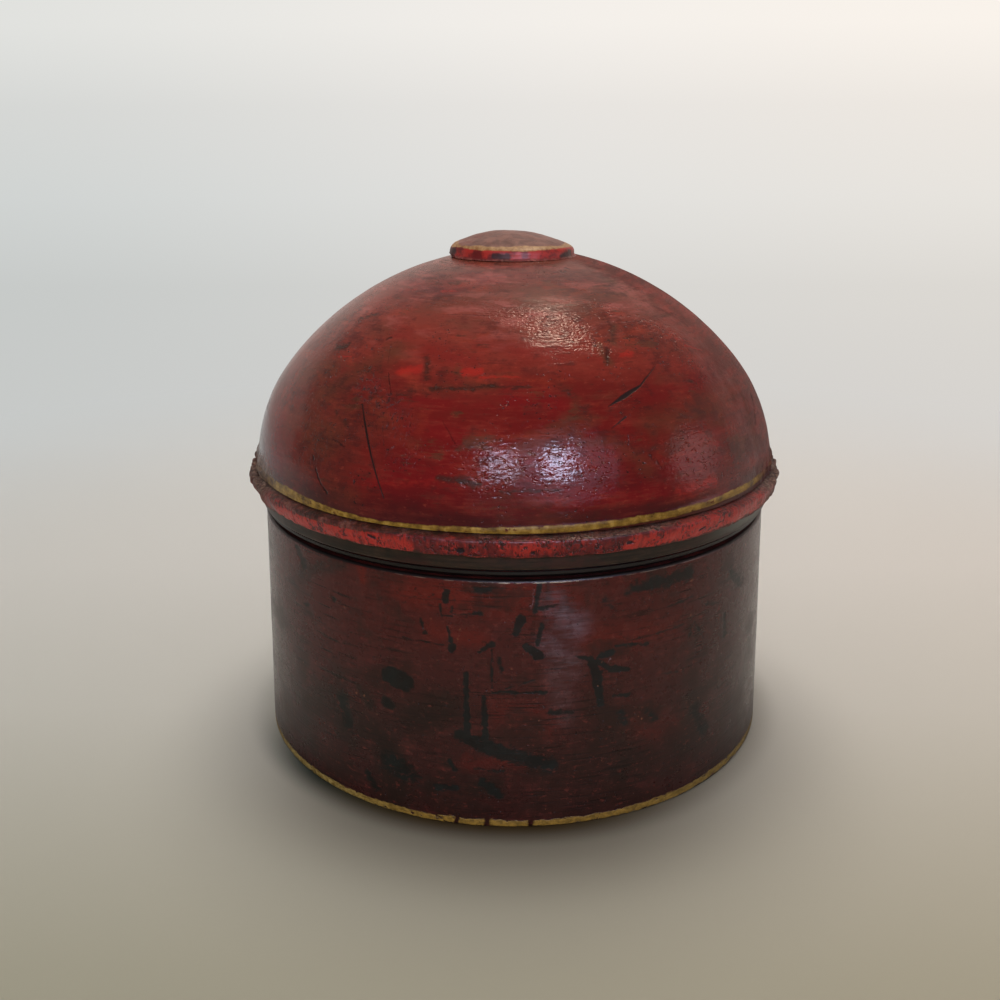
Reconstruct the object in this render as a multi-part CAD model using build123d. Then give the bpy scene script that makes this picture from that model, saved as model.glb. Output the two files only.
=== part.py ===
from build123d import *
from math import acos, asin, cos, degrees, radians, sin, sqrt, tan
import os

# A turned and lacquered wooden betel box: a drum with a spigot lip, a domed lift-off lid with a
# bead round its foot and a button on its crown, and inside a lift-out tray of seven lidded cups.
# All sizes are millimetres. The origin is the middle of the foot, and +Z is up.

# --- Drum -------------------------------------------------------------------------------------
drum_mouth_radius = 90.1
drum_flare = 2.5  # how much the foot is wider than the mouth, on the radius
drum_height = 82.8  # from the table to the shoulder that the lid stands on
drum_wall = 9.0  # at the mouth
drum_floor = 9.0
drum_corner = 7.0  # round where the bore meets the floor
foot_edge_round = 1.6
mouth_edge_round = 0.9
foot_ring_width = 12.0
foot_hollow = 1.6  # how far the underside is dished inside the foot ring
lip_height = 8.0
lip_thickness = 4.0
lip_edge = 0.6
thumb_notch_depth = 4.5
thumb_notch_radius = 14.0

# --- Lid --------------------------------------------------------------------------------------
socket_clearance = 0.4  # radial, between the lip and the lid's socket
socket_headroom = 1.0  # above the tray's flange
lid_wall = 7.0
dome_overhang = 1.9  # how far the dome's foot stands out past the drum's mouth
dome_rise = 12.7  # from the seat to the height where the dome's side is upright
shoulder_radius = 58.0
crown_start_angle = 38.0  # degrees above level, where the shoulder arc turns into the crown arc
seat_width = 1.9  # flat ring that stands on the drum's shoulder
quirk_height = 1.4  # the narrow gap between the drum's shoulder and the lid
strip_height = 1.3
strip_setback = 0.1
band_groove_height = 0.8
band_groove_depth = 0.8
band_height = 4.6
band_step = 1.2
band_round = 0.6
bead_height = 7.0
bead_projection = 3.3
bead_seat_depth = 2.6
bead_top_slope = 1.0
bead_nose_height = 1.7
bead_undercut = 1.4
bead_round = 0.8
dome_groove_depth = 0.4
dome_groove_height = 0.4

# --- Button on the crown ----------------------------------------------------------------------
button_radius = 21.2
button_side = 3.4
button_crown = 5.3
button_quirk = 0.8
button_edge_round = 0.7
tenon_radius = 6.0
tenon_clearance = 0.08

# --- Tray -------------------------------------------------------------------------------------
tray_clearance = 0.8
tray_wall = 3.5
tray_drop = 15.0  # underside of the floor below the flange's seat
tray_floor = 5.5
tray_flange = 3.0
tray_flange_setback = 0.6
tray_edge_round = 1.0
well_depth = 2.5
well_clearance = 0.4

# --- Cups -------------------------------------------------------------------------------------
outer_cups = 6  # one more stands in the middle
cup_gap = 6.0
cup_edge_gap = 3.0
cup_height = 26.0
cup_belly_height = 14.0
cup_foot_inset = 3.2
cup_shoulder_inset = 0.9
cup_wall = 4.2
cup_floor = 3.4
cup_corner = 4.0
cup_lip_height = 2.4
cup_lip_thickness = 1.5
cup_lid_clearance = 0.3
cup_lid_headroom = 0.4
cup_lid_rim = 3.6
cup_lid_rise = 5.2
cup_lid_round = 0.8
cup_knob_radius = 4.2
cup_neck_radius = 2.8
cup_neck_height = 1.2

# --- Places worked out from the sizes above -----------------------------------------------------
drum_foot_radius = drum_mouth_radius + drum_flare
bore_radius = drum_mouth_radius - drum_wall
lip_radius = bore_radius + lip_thickness
lip_top = drum_height + lip_height
socket_radius = lip_radius + socket_clearance
dome_foot_radius = drum_mouth_radius + dome_overhang
dome_level = drum_height + dome_rise
shoulder_centre = dome_foot_radius - shoulder_radius
crown_level = dome_level - shoulder_centre * tan(radians(crown_start_angle))
crown_radius = shoulder_radius + shoulder_centre / cos(radians(crown_start_angle))
strip_bottom = drum_height + quirk_height
strip_top = strip_bottom + strip_height
band_bottom = strip_top + band_groove_height
bead_bottom = band_bottom + band_height
bead_top = bead_bottom + bead_height
button_seat = crown_level + sqrt(crown_radius**2 - button_radius**2)
tray_flange_radius = lip_radius - tray_flange_setback
tray_radius = bore_radius - tray_clearance
tray_inside = tray_radius - tray_wall
tray_underside = lip_top - tray_drop
tray_floor_top = tray_underside + tray_floor
well_floor = tray_floor_top - well_depth
cup_radius = (tray_inside - cup_edge_gap - cup_gap) / 3
cup_spacing = 2 * cup_radius + cup_gap
cup_foot_radius = cup_radius - cup_foot_inset
cup_bore = cup_radius - cup_wall
cup_lip_radius = cup_bore + cup_lip_thickness
same_size = 0.01  # how near two sizes are when they are the same edge's


def turned(outline):
    """Spins a closed outline, drawn as (radius, height), about the Z axis."""
    return revolve(Plane.XZ * make_face(outline), axis=Axis.Z)


def dome_point(inset, angle):
    """A point of the dome's half-outline, inset from its outside, at an angle above level."""
    if angle <= crown_start_angle:
        centre, level, radius = shoulder_centre, dome_level, shoulder_radius - inset
    else:
        centre, level, radius = 0, crown_level, crown_radius - inset
    return (centre + radius * cos(radians(angle)), level + radius * sin(radians(angle)))


def dome_arcs(inset, start_angle, end_angle):
    """The shoulder arc and the crown arc, from start_angle up to end_angle."""
    shoulder = ThreePointArc(
        dome_point(inset, start_angle),
        dome_point(inset, (start_angle + crown_start_angle) / 2),
        dome_point(inset, crown_start_angle),
    )
    crown = ThreePointArc(
        dome_point(inset, crown_start_angle),
        dome_point(inset, (crown_start_angle + end_angle) / 2),
        dome_point(inset, end_angle),
    )
    return shoulder + crown


def drum():
    """The box itself: one turned cup with a dished underside and a lip that the lid fits over."""
    outside = Polyline(
        (0, foot_hollow),
        (drum_foot_radius - foot_ring_width, foot_hollow),
        (drum_foot_radius - foot_ring_width, 0),
        (drum_foot_radius, 0),
        (drum_mouth_radius, drum_height),
        (lip_radius, drum_height),
        (lip_radius, lip_top),
        (bore_radius, lip_top),
        (bore_radius, foot_hollow + drum_floor),
        (0, foot_hollow + drum_floor),
        close=True,
    )
    body = turned(outside)
    body = fillet(circles_at(body, drum_foot_radius, 0), foot_edge_round)
    body = fillet(circles_at(body, drum_mouth_radius, drum_height), mouth_edge_round)
    body = fillet(circles_at(body, bore_radius, foot_hollow + drum_floor), drum_corner)
    lip_edges = circles_at(body, lip_radius, lip_top) + circles_at(body, bore_radius, lip_top)
    body = chamfer(lip_edges, lip_edge)
    notch = Pos(0, 0, lip_top + thumb_notch_radius - thumb_notch_depth) * Rot(0, 90, 0)
    reach = 2 * lip_radius + lip_thickness
    return body - notch * Cylinder(thumb_notch_radius, reach)


def circles_at(shape, radius, height):
    """The full round edges of a turned piece that have this radius and height."""
    return ShapeList(
        edge
        for edge in shape.edges().filter_by(GeomType.CIRCLE)
        if abs(edge.radius - radius) < same_size and abs(edge.arc_center.Z - height) < same_size
    )


def lid_dome():
    """The turned shell of the lid, with a socket over the drum's lip and a rebate for the bead."""
    strip_radius = drum_mouth_radius - strip_setback
    band_radius = strip_radius + band_step
    neck_radius = strip_radius - band_groove_depth
    rebate_radius = dome_foot_radius - bead_seat_depth
    groove_top = bead_top + dome_groove_height
    start_angle = degrees(asin((groove_top - dome_level) / shoulder_radius))
    start = dome_point(0, start_angle)
    seat_angle = degrees(acos(button_radius / crown_radius))
    hole_radius = tenon_radius + tenon_clearance
    inner_end_angle = degrees(acos(hole_radius / (crown_radius - lid_wall)))
    socket_top = lip_top + tray_flange + socket_headroom
    inner_level = max(socket_top, dome_level)
    inner_start_angle = degrees(asin((inner_level - dome_level) / (shoulder_radius - lid_wall)))
    inner_start = dome_point(lid_wall, inner_start_angle)
    inner_end = dome_point(lid_wall, inner_end_angle)
    outline = Polyline(
        (inner_start[0], socket_top) if inner_level > socket_top else inner_start,
        (socket_radius, socket_top),
        (socket_radius, drum_height),
        (socket_radius + seat_width, drum_height),
        (strip_radius, strip_bottom),
        (strip_radius, strip_top),
        (neck_radius, strip_top),
        (neck_radius, band_bottom),
        (band_radius, band_bottom),
        (band_radius, bead_bottom),
        (rebate_radius, bead_bottom),
        (rebate_radius, bead_top),
        (start[0] - dome_groove_depth, bead_top),
        start,
    )
    outline += dome_arcs(0, start_angle, seat_angle)
    outline += Polyline(
        dome_point(0, seat_angle),
        (hole_radius, button_seat),
        inner_end,
    )
    outline += dome_arcs(lid_wall, inner_start_angle, inner_end_angle)
    if inner_level > socket_top:
        outline += Line(inner_start, (inner_start[0], socket_top))
    shell = turned(outline)
    return fillet(circles_at(shell, band_radius, band_bottom), band_round)


def rim_bead():
    """The bead round the lid's foot: a sloping top, an upright nose and a tucked-in underside."""
    rebate_radius = dome_foot_radius - bead_seat_depth
    nose_radius = dome_foot_radius + bead_projection
    nose_top = bead_top - bead_top_slope
    outline = Polyline(
        (rebate_radius, bead_bottom),
        (nose_radius - bead_undercut, bead_bottom),
        (nose_radius, nose_top - bead_nose_height),
        (nose_radius, nose_top),
        (dome_foot_radius, bead_top),
        (rebate_radius, bead_top),
        close=True,
    )
    ring = turned(outline)
    soft_edges = circles_at(ring, nose_radius - bead_undercut, bead_bottom)
    soft_edges += circles_at(ring, nose_radius, nose_top)
    return fillet(soft_edges, bead_round)


def lid_button():
    """The low crowned button, with a tenon that is glued through the crown of the dome."""
    edge_level = button_seat + button_side
    top = edge_level + button_crown
    tenon_end = crown_level + sqrt((crown_radius - lid_wall) ** 2 - tenon_radius**2)
    cap_radius = (button_radius**2 + button_crown**2) / (2 * button_crown)
    half_chord = button_radius / 2
    half_height = top - cap_radius + sqrt(cap_radius**2 - half_chord**2)
    outline = Polyline(
        (0, top),
        (0, tenon_end),
        (tenon_radius, tenon_end),
        (tenon_radius, button_seat),
        (button_radius - button_quirk, button_seat),
        (button_radius, button_seat + button_quirk),
        (button_radius, edge_level),
    )
    outline += ThreePointArc((button_radius, edge_level), (half_chord, half_height), (0, top))
    button = turned(outline)
    return fillet(circles_at(button, button_radius, edge_level), button_edge_round)


def cup_places():
    """The middles of the seven cups: one on the axis and a ring round it."""
    return [Pos(0, 0)] + list(PolarLocations(cup_spacing, outer_cups))


def tray():
    """The lift-out tray, hung by its flange on the drum's lip, with a shallow well for each cup."""
    flange_top = lip_top + tray_flange
    outline = Polyline(
        (0, tray_underside),
        (tray_radius, tray_underside),
        (tray_radius, lip_top),
        (tray_flange_radius, lip_top),
        (tray_flange_radius, flange_top),
        (tray_inside, flange_top),
        (tray_inside, tray_floor_top),
        (0, tray_floor_top),
        close=True,
    )
    dish = turned(outline)
    soft_edges = circles_at(dish, tray_radius, tray_underside)
    soft_edges += circles_at(dish, tray_flange_radius, flange_top)
    soft_edges += circles_at(dish, tray_inside, flange_top)
    soft_edges += circles_at(dish, tray_inside, tray_floor_top)
    dish = fillet(soft_edges, tray_edge_round)
    well = Pos(0, 0, well_floor + well_depth / 2) * Cylinder(
        cup_foot_radius + well_clearance, well_depth
    )
    return dish - [place * well for place in cup_places()]


def cup():
    """One small turned cup, standing on its well's floor at the tray's middle."""
    base = well_floor
    shoulder = base + cup_height - cup_lip_height
    top = base + cup_height
    outline = Polyline(
        (0, base),
        (cup_foot_radius, base),
        (cup_foot_radius, base + well_depth),
    )
    outline += ThreePointArc(
        (cup_foot_radius, base + well_depth),
        (cup_radius, base + cup_belly_height),
        (cup_radius - cup_shoulder_inset, shoulder),
    )
    outline += Polyline(
        (cup_radius - cup_shoulder_inset, shoulder),
        (cup_lip_radius, shoulder),
        (cup_lip_radius, top),
        (cup_bore, top),
        (cup_bore, base + cup_floor),
        (0, base + cup_floor),
        (0, base),
    )
    body = turned(outline)
    return fillet(circles_at(body, cup_bore, base + cup_floor), cup_corner)


def cup_lid():
    """The lid of one cup: a low dome with a rim over the cup's lip and a small turned knob."""
    seat = well_floor + cup_height - cup_lip_height
    rim_radius = cup_radius - cup_shoulder_inset
    socket = cup_lip_radius + cup_lid_clearance
    ceiling = seat + cup_lip_height + cup_lid_headroom
    rim_top = seat + cup_lid_rim
    dome_radius = rim_radius - cup_lid_round
    dome_top = rim_top + cup_lid_rise
    cap_radius = (dome_radius**2 + cup_lid_rise**2) / (2 * cup_lid_rise)
    neck_level = dome_top - cap_radius + sqrt(cap_radius**2 - cup_neck_radius**2)
    neck_top = dome_top + cup_neck_height
    half_chord = (dome_radius + cup_neck_radius) / 2
    half_level = dome_top - cap_radius + sqrt(cap_radius**2 - half_chord**2)
    knob_middle = neck_top + sqrt(cup_knob_radius**2 - cup_neck_radius**2)
    knob_top = knob_middle + cup_knob_radius
    outline = Polyline(
        (0, knob_top),
        (0, ceiling),
        (socket, ceiling),
        (socket, seat),
        (rim_radius, seat),
        (rim_radius, rim_top),
        (dome_radius, rim_top),
    )
    outline += ThreePointArc(
        (dome_radius, rim_top), (half_chord, half_level), (cup_neck_radius, neck_level)
    )
    outline += Line((cup_neck_radius, neck_level), (cup_neck_radius, neck_top))
    outline += ThreePointArc(
        (cup_neck_radius, neck_top), (cup_knob_radius, knob_middle), (0, knob_top)
    )
    return turned(outline)


def export(shape, name):
    export_step(shape, os.path.join("parts", name + ".step"))


os.makedirs("parts", exist_ok=True)
export(drum(), "drum")
export(lid_dome(), "lid_dome")
export(rim_bead(), "rim_bead")
export(lid_button(), "lid_button")
export(tray(), "tray")
for number, place in enumerate(cup_places(), start=1):
    export(place * cup(), f"cup_{number}")
    export(place * cup_lid(), f"cup_lid_{number}")
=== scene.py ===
from math import acos, asin, atan2, cos, degrees, hypot, pi, radians, sin, sqrt, tan

import bmesh
import bpy
from mathutils import Matrix, Vector, noise


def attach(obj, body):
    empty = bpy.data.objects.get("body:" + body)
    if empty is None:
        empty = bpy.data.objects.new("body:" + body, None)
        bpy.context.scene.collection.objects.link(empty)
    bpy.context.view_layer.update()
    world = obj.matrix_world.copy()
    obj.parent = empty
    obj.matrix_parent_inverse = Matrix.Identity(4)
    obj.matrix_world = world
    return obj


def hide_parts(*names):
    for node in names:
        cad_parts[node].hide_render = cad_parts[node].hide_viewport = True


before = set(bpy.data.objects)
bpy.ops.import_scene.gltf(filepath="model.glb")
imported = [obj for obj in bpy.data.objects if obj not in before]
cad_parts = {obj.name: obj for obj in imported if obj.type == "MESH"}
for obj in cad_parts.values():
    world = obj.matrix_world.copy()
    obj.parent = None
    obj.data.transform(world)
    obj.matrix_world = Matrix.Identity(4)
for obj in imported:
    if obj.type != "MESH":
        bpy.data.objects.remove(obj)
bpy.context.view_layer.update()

# The betel box: turned wood under red and brown lacquer, worn and stained.
# Sizes are millimetres, colours are 0 to 255 as they are seen, and angles are degrees.
# Each piece has its sizes in one dictionary, its marks in more, and its colours in one before its finish.
# An azimuth is 0 at the front, where -Y is, and grows towards +X.

mm = 0.001
hair = 0.05  # what a height is compared with, to be clear of an edge
weld = 0.002  # points nearer to each other than this are one
flatten = 0.9  # how far a mark ignores the curve of the surface under it
print("frame loaded,", len(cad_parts), "nodes")


def seen(red, green, blue):  # a colour as it is seen, turned into the linear one that shaders take
    def linear(part):
        part /= 255
        return part / 12.92 if part <= 0.04045 else ((part + 0.055) / 1.055) ** 2.4

    return (linear(red), linear(green), linear(blue), 1)


def along(value, start, end):  # 0 at the start, 1 at the end, and held there past them
    return min(1, max(0, (value - start) / (end - start)))


def spot(azimuth, radius, height):  # a place round the axis
    return Vector((radius * sin(radians(azimuth)), -radius * cos(radians(azimuth)), height))


def stroke(mark, surface):  # a mark's start, its run, and the way that the surface faces there
    azimuth, height, toAzimuth, toHeight = mark[:4]
    start = spot(azimuth, surface(height), height)
    run = spot(toAzimuth, surface(toHeight), toHeight) - start
    azimuth, height = (azimuth + toAzimuth) / 2, (height + toHeight) / 2
    up = spot(azimuth, surface(height + 1), height + 1) - spot(azimuth, surface(height), height)
    return start, run, up.cross(spot(azimuth + 90, 1, 0)).normalized()


class Wire:  # a node's output, so that shader maths is written as plain expressions
    def __init__(self, nodes, socket):
        self.nodes = nodes
        self.socket = socket

    def __add__(self, other):
        return self.nodes.maths("ADD", self, other)

    def __radd__(self, other):
        return self.nodes.maths("ADD", other, self)

    def __sub__(self, other):
        return self.nodes.maths("SUBTRACT", self, other)

    def __rsub__(self, other):
        return self.nodes.maths("SUBTRACT", other, self)

    def __mul__(self, other):
        return self.nodes.maths("MULTIPLY", self, other)

    def __rmul__(self, other):
        return self.nodes.maths("MULTIPLY", other, self)

    def __truediv__(self, other):
        return self.nodes.maths("DIVIDE", self, other)

    def __abs__(self):
        return self.nodes.maths("ABSOLUTE", self)

    def __or__(self, other):  # the greater of two masks
        return self.nodes.maths("MAXIMUM", self, other)

    def __and__(self, other):  # the lesser of two masks
        return self.nodes.maths("MINIMUM", self, other)

    def rise(self, low, high, most=1.0):  # 0 up to low and most from high on, with a smooth step
        settings = {"interpolation_type": "SMOOTHSTEP"}
        return self.nodes.node("ShaderNodeMapRange", settings, {0: self, 1: low, 2: high, 4: most})

    def within(self, low, high, soft):  # 1 between low and high
        return (self - low).rise(-soft, soft) * (self - high).rise(soft, -soft)


class Nodes:  # adds nodes to one tree
    def __init__(self, tree):
        self.tree = tree
        tree.nodes.clear()

    def node(self, kind, settings, sockets, output=0):
        made = self.tree.nodes.new(kind)
        for name, value in settings.items():
            if name == "stops":
                while len(made.color_ramp.elements) < len(value):
                    made.color_ramp.elements.new(1)
                for element, stop in zip(made.color_ramp.elements, value):
                    element.position, element.color = stop
            else:
                setattr(made, name, value)
        for name, value in sockets.items():
            if isinstance(value, Wire):
                self.tree.links.new(value.socket, made.inputs[name])
            else:
                made.inputs[name].default_value = value
        return Wire(self, made.outputs[output]) if made.outputs else made

    def maths(self, operation, *values):
        return self.node("ShaderNodeMath", {"operation": operation}, dict(enumerate(values)))

    def vector(self, operation, *values, output=0):
        settings = {"operation": operation}
        return self.node("ShaderNodeVectorMath", settings, dict(enumerate(values)), output)

    def scaled(self, vector, size):
        return self.node("ShaderNodeVectorMath", {"operation": "SCALE"}, {0: vector, 3: size})

    def mix(self, share, first, second):
        return self.node("ShaderNodeMix", {"data_type": "RGBA"}, {0: share, 6: first, 7: second}, 2)

    def ramp(self, share, stops):
        return self.node("ShaderNodeValToRGB", {"stops": stops}, {0: share})

    def noise(self, where, size, detail=3.0, rough=0.5, output=0):
        sockets = {"Vector": where, "Scale": 1 / size, "Detail": detail, "Roughness": rough}
        return self.node("ShaderNodeTexNoise", {}, sockets, output)


class Finish(Nodes):  # one material and the nodes that paint it, in millimetres
    def __init__(self, name, tones):
        self.tones = tones
        self.colour = None
        self.material = bpy.data.materials.new(name)
        self.material.use_nodes = True
        super().__init__(self.material.node_tree)
        self.here = self.scaled(self.node("ShaderNodeTexCoord", {}, {}, "Object"), 1 / mm)
        self.x = self.node("ShaderNodeSeparateXYZ", {}, {0: self.here}, "X")
        self.y = Wire(self, self.x.socket.node.outputs["Y"])
        self.z = Wire(self, self.x.socket.node.outputs["Z"])
        self.radius = self.maths("SQRT", self.x * self.x + self.y * self.y)
        self.azimuth = self.maths("ARCTAN2", self.x, 0 - self.y) * degrees(1)

    def tone(self, colour):  # a colour of this finish by its name, or any other as it is
        return seen(*self.tones[colour]) if isinstance(colour, str) else colour

    def mix(self, share, first, second):
        return super().mix(share, self.tone(first), self.tone(second))

    def ramp(self, share, stops):
        return super().ramp(share, [(place, self.tone(colour)) for place, colour in stops])

    def lay(self, share, colour):  # a layer of another colour over what is there
        self.colour = self.mix(share, self.colour, colour)

    def beyond(self, start, full, most=1.0):  # 0 up to one azimuth, most from another, 0 at the back
        back = 170 if full > start else -170
        return self.azimuth.rise(start, full, most) * self.azimuth.rise(back, back * 0.75)

    def drawn(self, across, up, level=None):  # places drawn out round the axis and upwards
        level = self.z if level is None else level
        sockets = {0: self.x / across, 1: self.y / across, 2: level / up}
        return self.node("ShaderNodeCombineXYZ", {}, sockets)

    def shaken(self, amount, size):  # places pushed about by noise, for ragged edges
        push = self.vector("SUBTRACT", self.noise(self.here, size, 3, 0.65, 1), (0.5, 0.5, 0.5))
        return self.vector("ADD", self.here, self.scaled(push, 2 * amount))

    def marks(self, where, strokes, surface, blur=0.0):  # strokes on a turned surface, in one mask
        mask = None
        for mark in strokes.values():
            start, run, facing = stroke(mark, surface)
            width, toWidth, soft, strength = mark[4:]
            offset = self.vector("SUBTRACT", where, tuple(start))
            share = self.vector("DOT_PRODUCT", offset, tuple(run / run.length_squared), output=1)
            share = self.node("ShaderNodeClamp", {}, {0: share})
            depth = self.vector("DOT_PRODUCT", offset, tuple(facing * -flatten), output=1)
            offset = self.vector("ADD", offset, self.scaled(tuple(facing), depth))
            away = self.vector("DISTANCE", offset, self.scaled(tuple(run), share), output=1)
            if toWidth != width:
                away = away - share * (toWidth - width)
            painted = away.rise(width + soft + blur, width - soft - blur, strength)
            mask = painted if mask is None else mask | painted
        return mask

    def bump(self, height, depth):  # depth is in millimetres
        sockets = {"Strength": 1.0, "Distance": depth * mm, "Height": height}
        return self.node("ShaderNodeBump", {}, sockets)

    def done(self, roughness, normal, specular=0.5):
        surface = self.node("ShaderNodeBsdfPrincipled", {}, {
            "Base Color": self.colour, "Roughness": roughness, "Normal": normal,
            "Specular IOR Level": specular,
        })
        self.node("ShaderNodeOutputMaterial", {}, {"Surface": surface})
        return self.material


def outline(piece, corners, setbacks):  # a closed line of (radius, height), some corners rounded
    points = [piece.verts.new((radius * mm, 0, height * mm)) for radius, height in corners]
    for start, end in zip(points, points[1:] + points[:1]):
        piece.edges.new((start, end))
    for index, setback in setbacks.items():
        bmesh.ops.bevel(
            piece, geom=[points[index]], offset=setback * mm, offset_type="OFFSET", segments=4,
            profile=0.5, affect="VERTICES", material=-1,
        )


def spaceOut(piece, gap, where=lambda middle: True):  # cuts long edges into equal parts
    for edge in list(piece.edges):
        middle = (edge.verts[0].co + edge.verts[1].co) / 2
        cuts = round(edge.calc_length() / (gap * mm)) - 1
        if cuts > 0 and where(middle):
            bmesh.ops.subdivide_edges(piece, edges=[edge], cuts=cuts)


def spinRound(piece, steps, doublings=4):  # spins one sector, then doubles it until it is whole
    sector = 2 * pi / 2 ** doublings
    bmesh.ops.spin(
        piece, geom=piece.verts[:] + piece.edges[:], cent=(0, 0, 0), axis=(0, 0, 1),
        dvec=(0, 0, 0), angle=sector, steps=steps // 2 ** doublings, use_duplicate=False,
    )
    for doubling in range(doublings):
        copied = bmesh.ops.duplicate(piece, geom=piece.verts[:] + piece.edges[:] + piece.faces[:])
        turned = [part for part in copied["geom"] if isinstance(part, bmesh.types.BMVert)]
        turn = Matrix.Rotation(sector * 2 ** doubling, 3, "Z")
        bmesh.ops.rotate(piece, verts=turned, cent=(0, 0, 0), matrix=turn)
    bmesh.ops.remove_doubles(piece, verts=piece.verts[:], dist=weld * mm)
    bmesh.ops.recalc_face_normals(piece, faces=piece.faces[:])
    piece.normal_update()


def stand(piece, name, finishes, sharp=35):  # makes the object; pieces are made where they stand
    mesh = bpy.data.meshes.new(name)
    piece.to_mesh(mesh)
    piece.free()
    mesh.shade_smooth()
    mesh.set_sharp_from_angle(angle=radians(sharp))
    for finish in finishes:
        mesh.materials.append(finish)
    made = bpy.data.objects.new(name, mesh)
    bpy.context.scene.collection.objects.link(made)
    print(name, "stands,", len(mesh.polygons), "faces")
    return made


def polar(place):  # azimuth in degrees, radius and height in millimetres
    return degrees(atan2(place.x, -place.y)), hypot(place.x, place.y) / mm, place.z / mm


def ripple(place, size):  # smooth noise from -1 to 1 with features of this size
    return noise.noise(place / (size * mm))


def grain(place, across, up):  # noise drawn out round the axis
    return noise.noise(Vector((place.x / across, place.y / across, place.z / up)) / mm)


drum = {
    "footRadius": 92.6, "mouthRadius": 90.1, "height": 82.8, "lipHeight": 8, "lipRadius": 85.1,
    "boreRadius": 81.1, "floor": 10.6, "floorCorner": 7, "footRing": 12, "footHollow": 1.6,
    "footRound": 0.9, "mouthRound": 1.0, "lipEdge": 0.6, "notchDepth": 4.5, "notchRadius": 14,
    "steps": 640, "gap": 1.05, "insideGap": 6,
    "swell": 0.22, "swellSize": 48, "dent": 0.06, "dentSize": 9, "turning": 0.025,
    "turningAcross": 40, "turningUp": 1.6,
    "mouthChip": 0.3, "chipSize": 1.8, "chipLevel": 0.1, "chipHeight": 1.2,
    "underHeight": 3, "downward": -0.9, "roughness": 0.27, "relief": 0.12, "specular": 0.28,
}


def drumSide(height):
    return drum["footRadius"] + (drum["mouthRadius"] - drum["footRadius"]) * height / drum["height"]


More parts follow.
